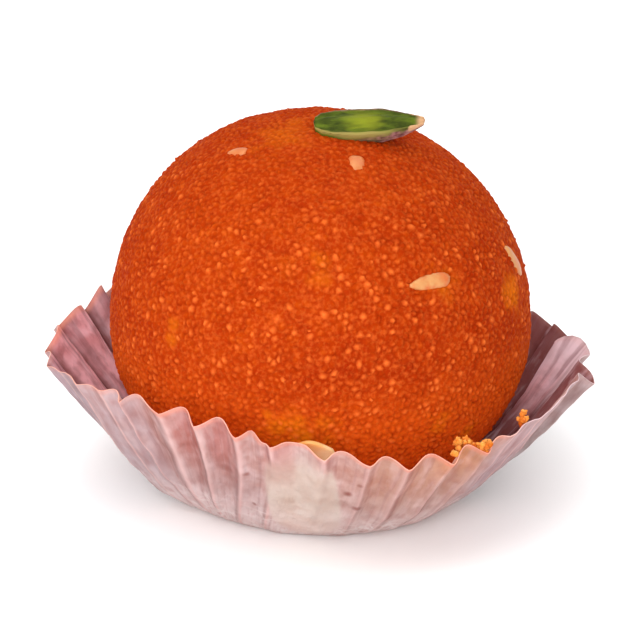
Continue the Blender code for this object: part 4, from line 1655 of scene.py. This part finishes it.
LOOSE_RADIUS = (0.18, 0.46)  # mm
LOOSE_GAP = 0.05 * MM  # between a pearl and the paper
LOOSE_HEAP = 1.2 * MM  # how far from the paper the farthest lie on others
LOOSE_STACK = 0.5 * MM
LOOSE_TRIES = 6
LOOSE_SQUASH = (0.75, 1.15)
LOOSE_LUMP, LOOSE_PIT = 0.5, 0.22
LOOSE_VALUES = ("crease", "dot", "tone", "glow")
LOOSE_CLUSTERS = (  # azimuth, share of the wall, spread (degrees, share), how many
    (-35.8, 0.99, 2.0, 0.05, 48),
    (-32.6, 0.985, 1.8, 0.02, 18),
    (-30.6, 1.0, 1.2, 0.015, 12),
    (-48.2, 1.0, 0.9, 0.03, 11),
)
paper_tree = BVHTree.FromPolygons(
    [vert.co for vert in case.data.vertices], [list(face.vertices) for face in case.data.polygons]
)


def out_at(azimuth):
    """How far out the fold is at this azimuth."""
    return min(columns, key=lambda column: abs(wrapped(column.azimuth - azimuth))).out


def off_the_paper(centre, radius):
    """Move a pearl inward until it lies against the paper's inner face, and off the ladoo."""
    for _ in range(LOOSE_TRIES):
        spot, outward, _, _ = paper_tree.find_nearest(centre)
        least = radius + PAPER_THICKNESS + LOOSE_GAP
        deep = (centre - spot).dot(outward) + least
        if deep > 0.0:
            centre = centre - outward * deep
    away = centre - BALL_CENTRE
    direction = away.normalized()
    return BALL_CENTRE + direction * max(away.length, ball_radius(direction) + 0.5 * radius)


def loose_pearl(bm, centre, radius):
    """Add one small, crumbly grain."""
    made = bmesh.ops.create_icosphere(bm, subdivisions=3, radius=1.0)
    pale = rng.random() ** 0.8
    squash = Vector([rng.uniform(*LOOSE_SQUASH) for _ in range(3)])
    for vert in made["verts"]:
        lump = 1.0 + LOOSE_LUMP * noise.noise(vert.co * 1.6 + centre / MM)
        lump += LOOSE_PIT * noise.noise(vert.co * 3.6 + centre / MM)
        top = max(0.0, vert.co.z)
        # painted shade on each grain's underside, and a painted glint on its top
        values = {
            "tone": pale,
            "glow": 0.15 + 0.5 * pale,
            "crease": 0.7 * (1.0 - top) * (1.0 - pale),
            "dot": 0.6 * pale * top**2,
        }
        for key, value in values.items():
            vert[bm.verts.layers.float[key]] = value
        vert.co = centre + vert.co * squash * (radius * lump)


loose_bm = bmesh.new()
for name in LOOSE_VALUES:
    loose_bm.verts.layers.float.new(name)
for azimuth, share, spread, spread_share, how_many in LOOSE_CLUSTERS:
    for _ in range(how_many):
        radius = rng.uniform(*LOOSE_RADIUS) * MM
        place = azimuth + rng.uniform(-spread, spread)
        height = share + rng.uniform(-spread_share, spread_share)
        paper = wall_point(place, height, out_at(place))
        inward = (BALL_CENTRE - paper).normalized()
        start = paper + inward * (radius + LOOSE_HEAP * rng.random() ** 2)
        start += UP * LOOSE_STACK * rng.random()
        loose_pearl(loose_bm, off_the_paper(start, radius), radius)
bmesh.ops.recalc_face_normals(loose_bm, faces=loose_bm.faces[:])
loose = new_object("loose_pearls", loose_bm)
loose.data.materials.append(
    syrup_finish(
        "syrup_amber", srgb(184, 78, 14), srgb(204, 108, 32), srgb(214, 136, 58),
        srgb(160, 66, 10), srgb(228, 172, 104), srgb(216, 138, 60),
    )
)
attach(loose, "root")
print("loose pearls:", sum(cluster[-1] for cluster in LOOSE_CLUSTERS))
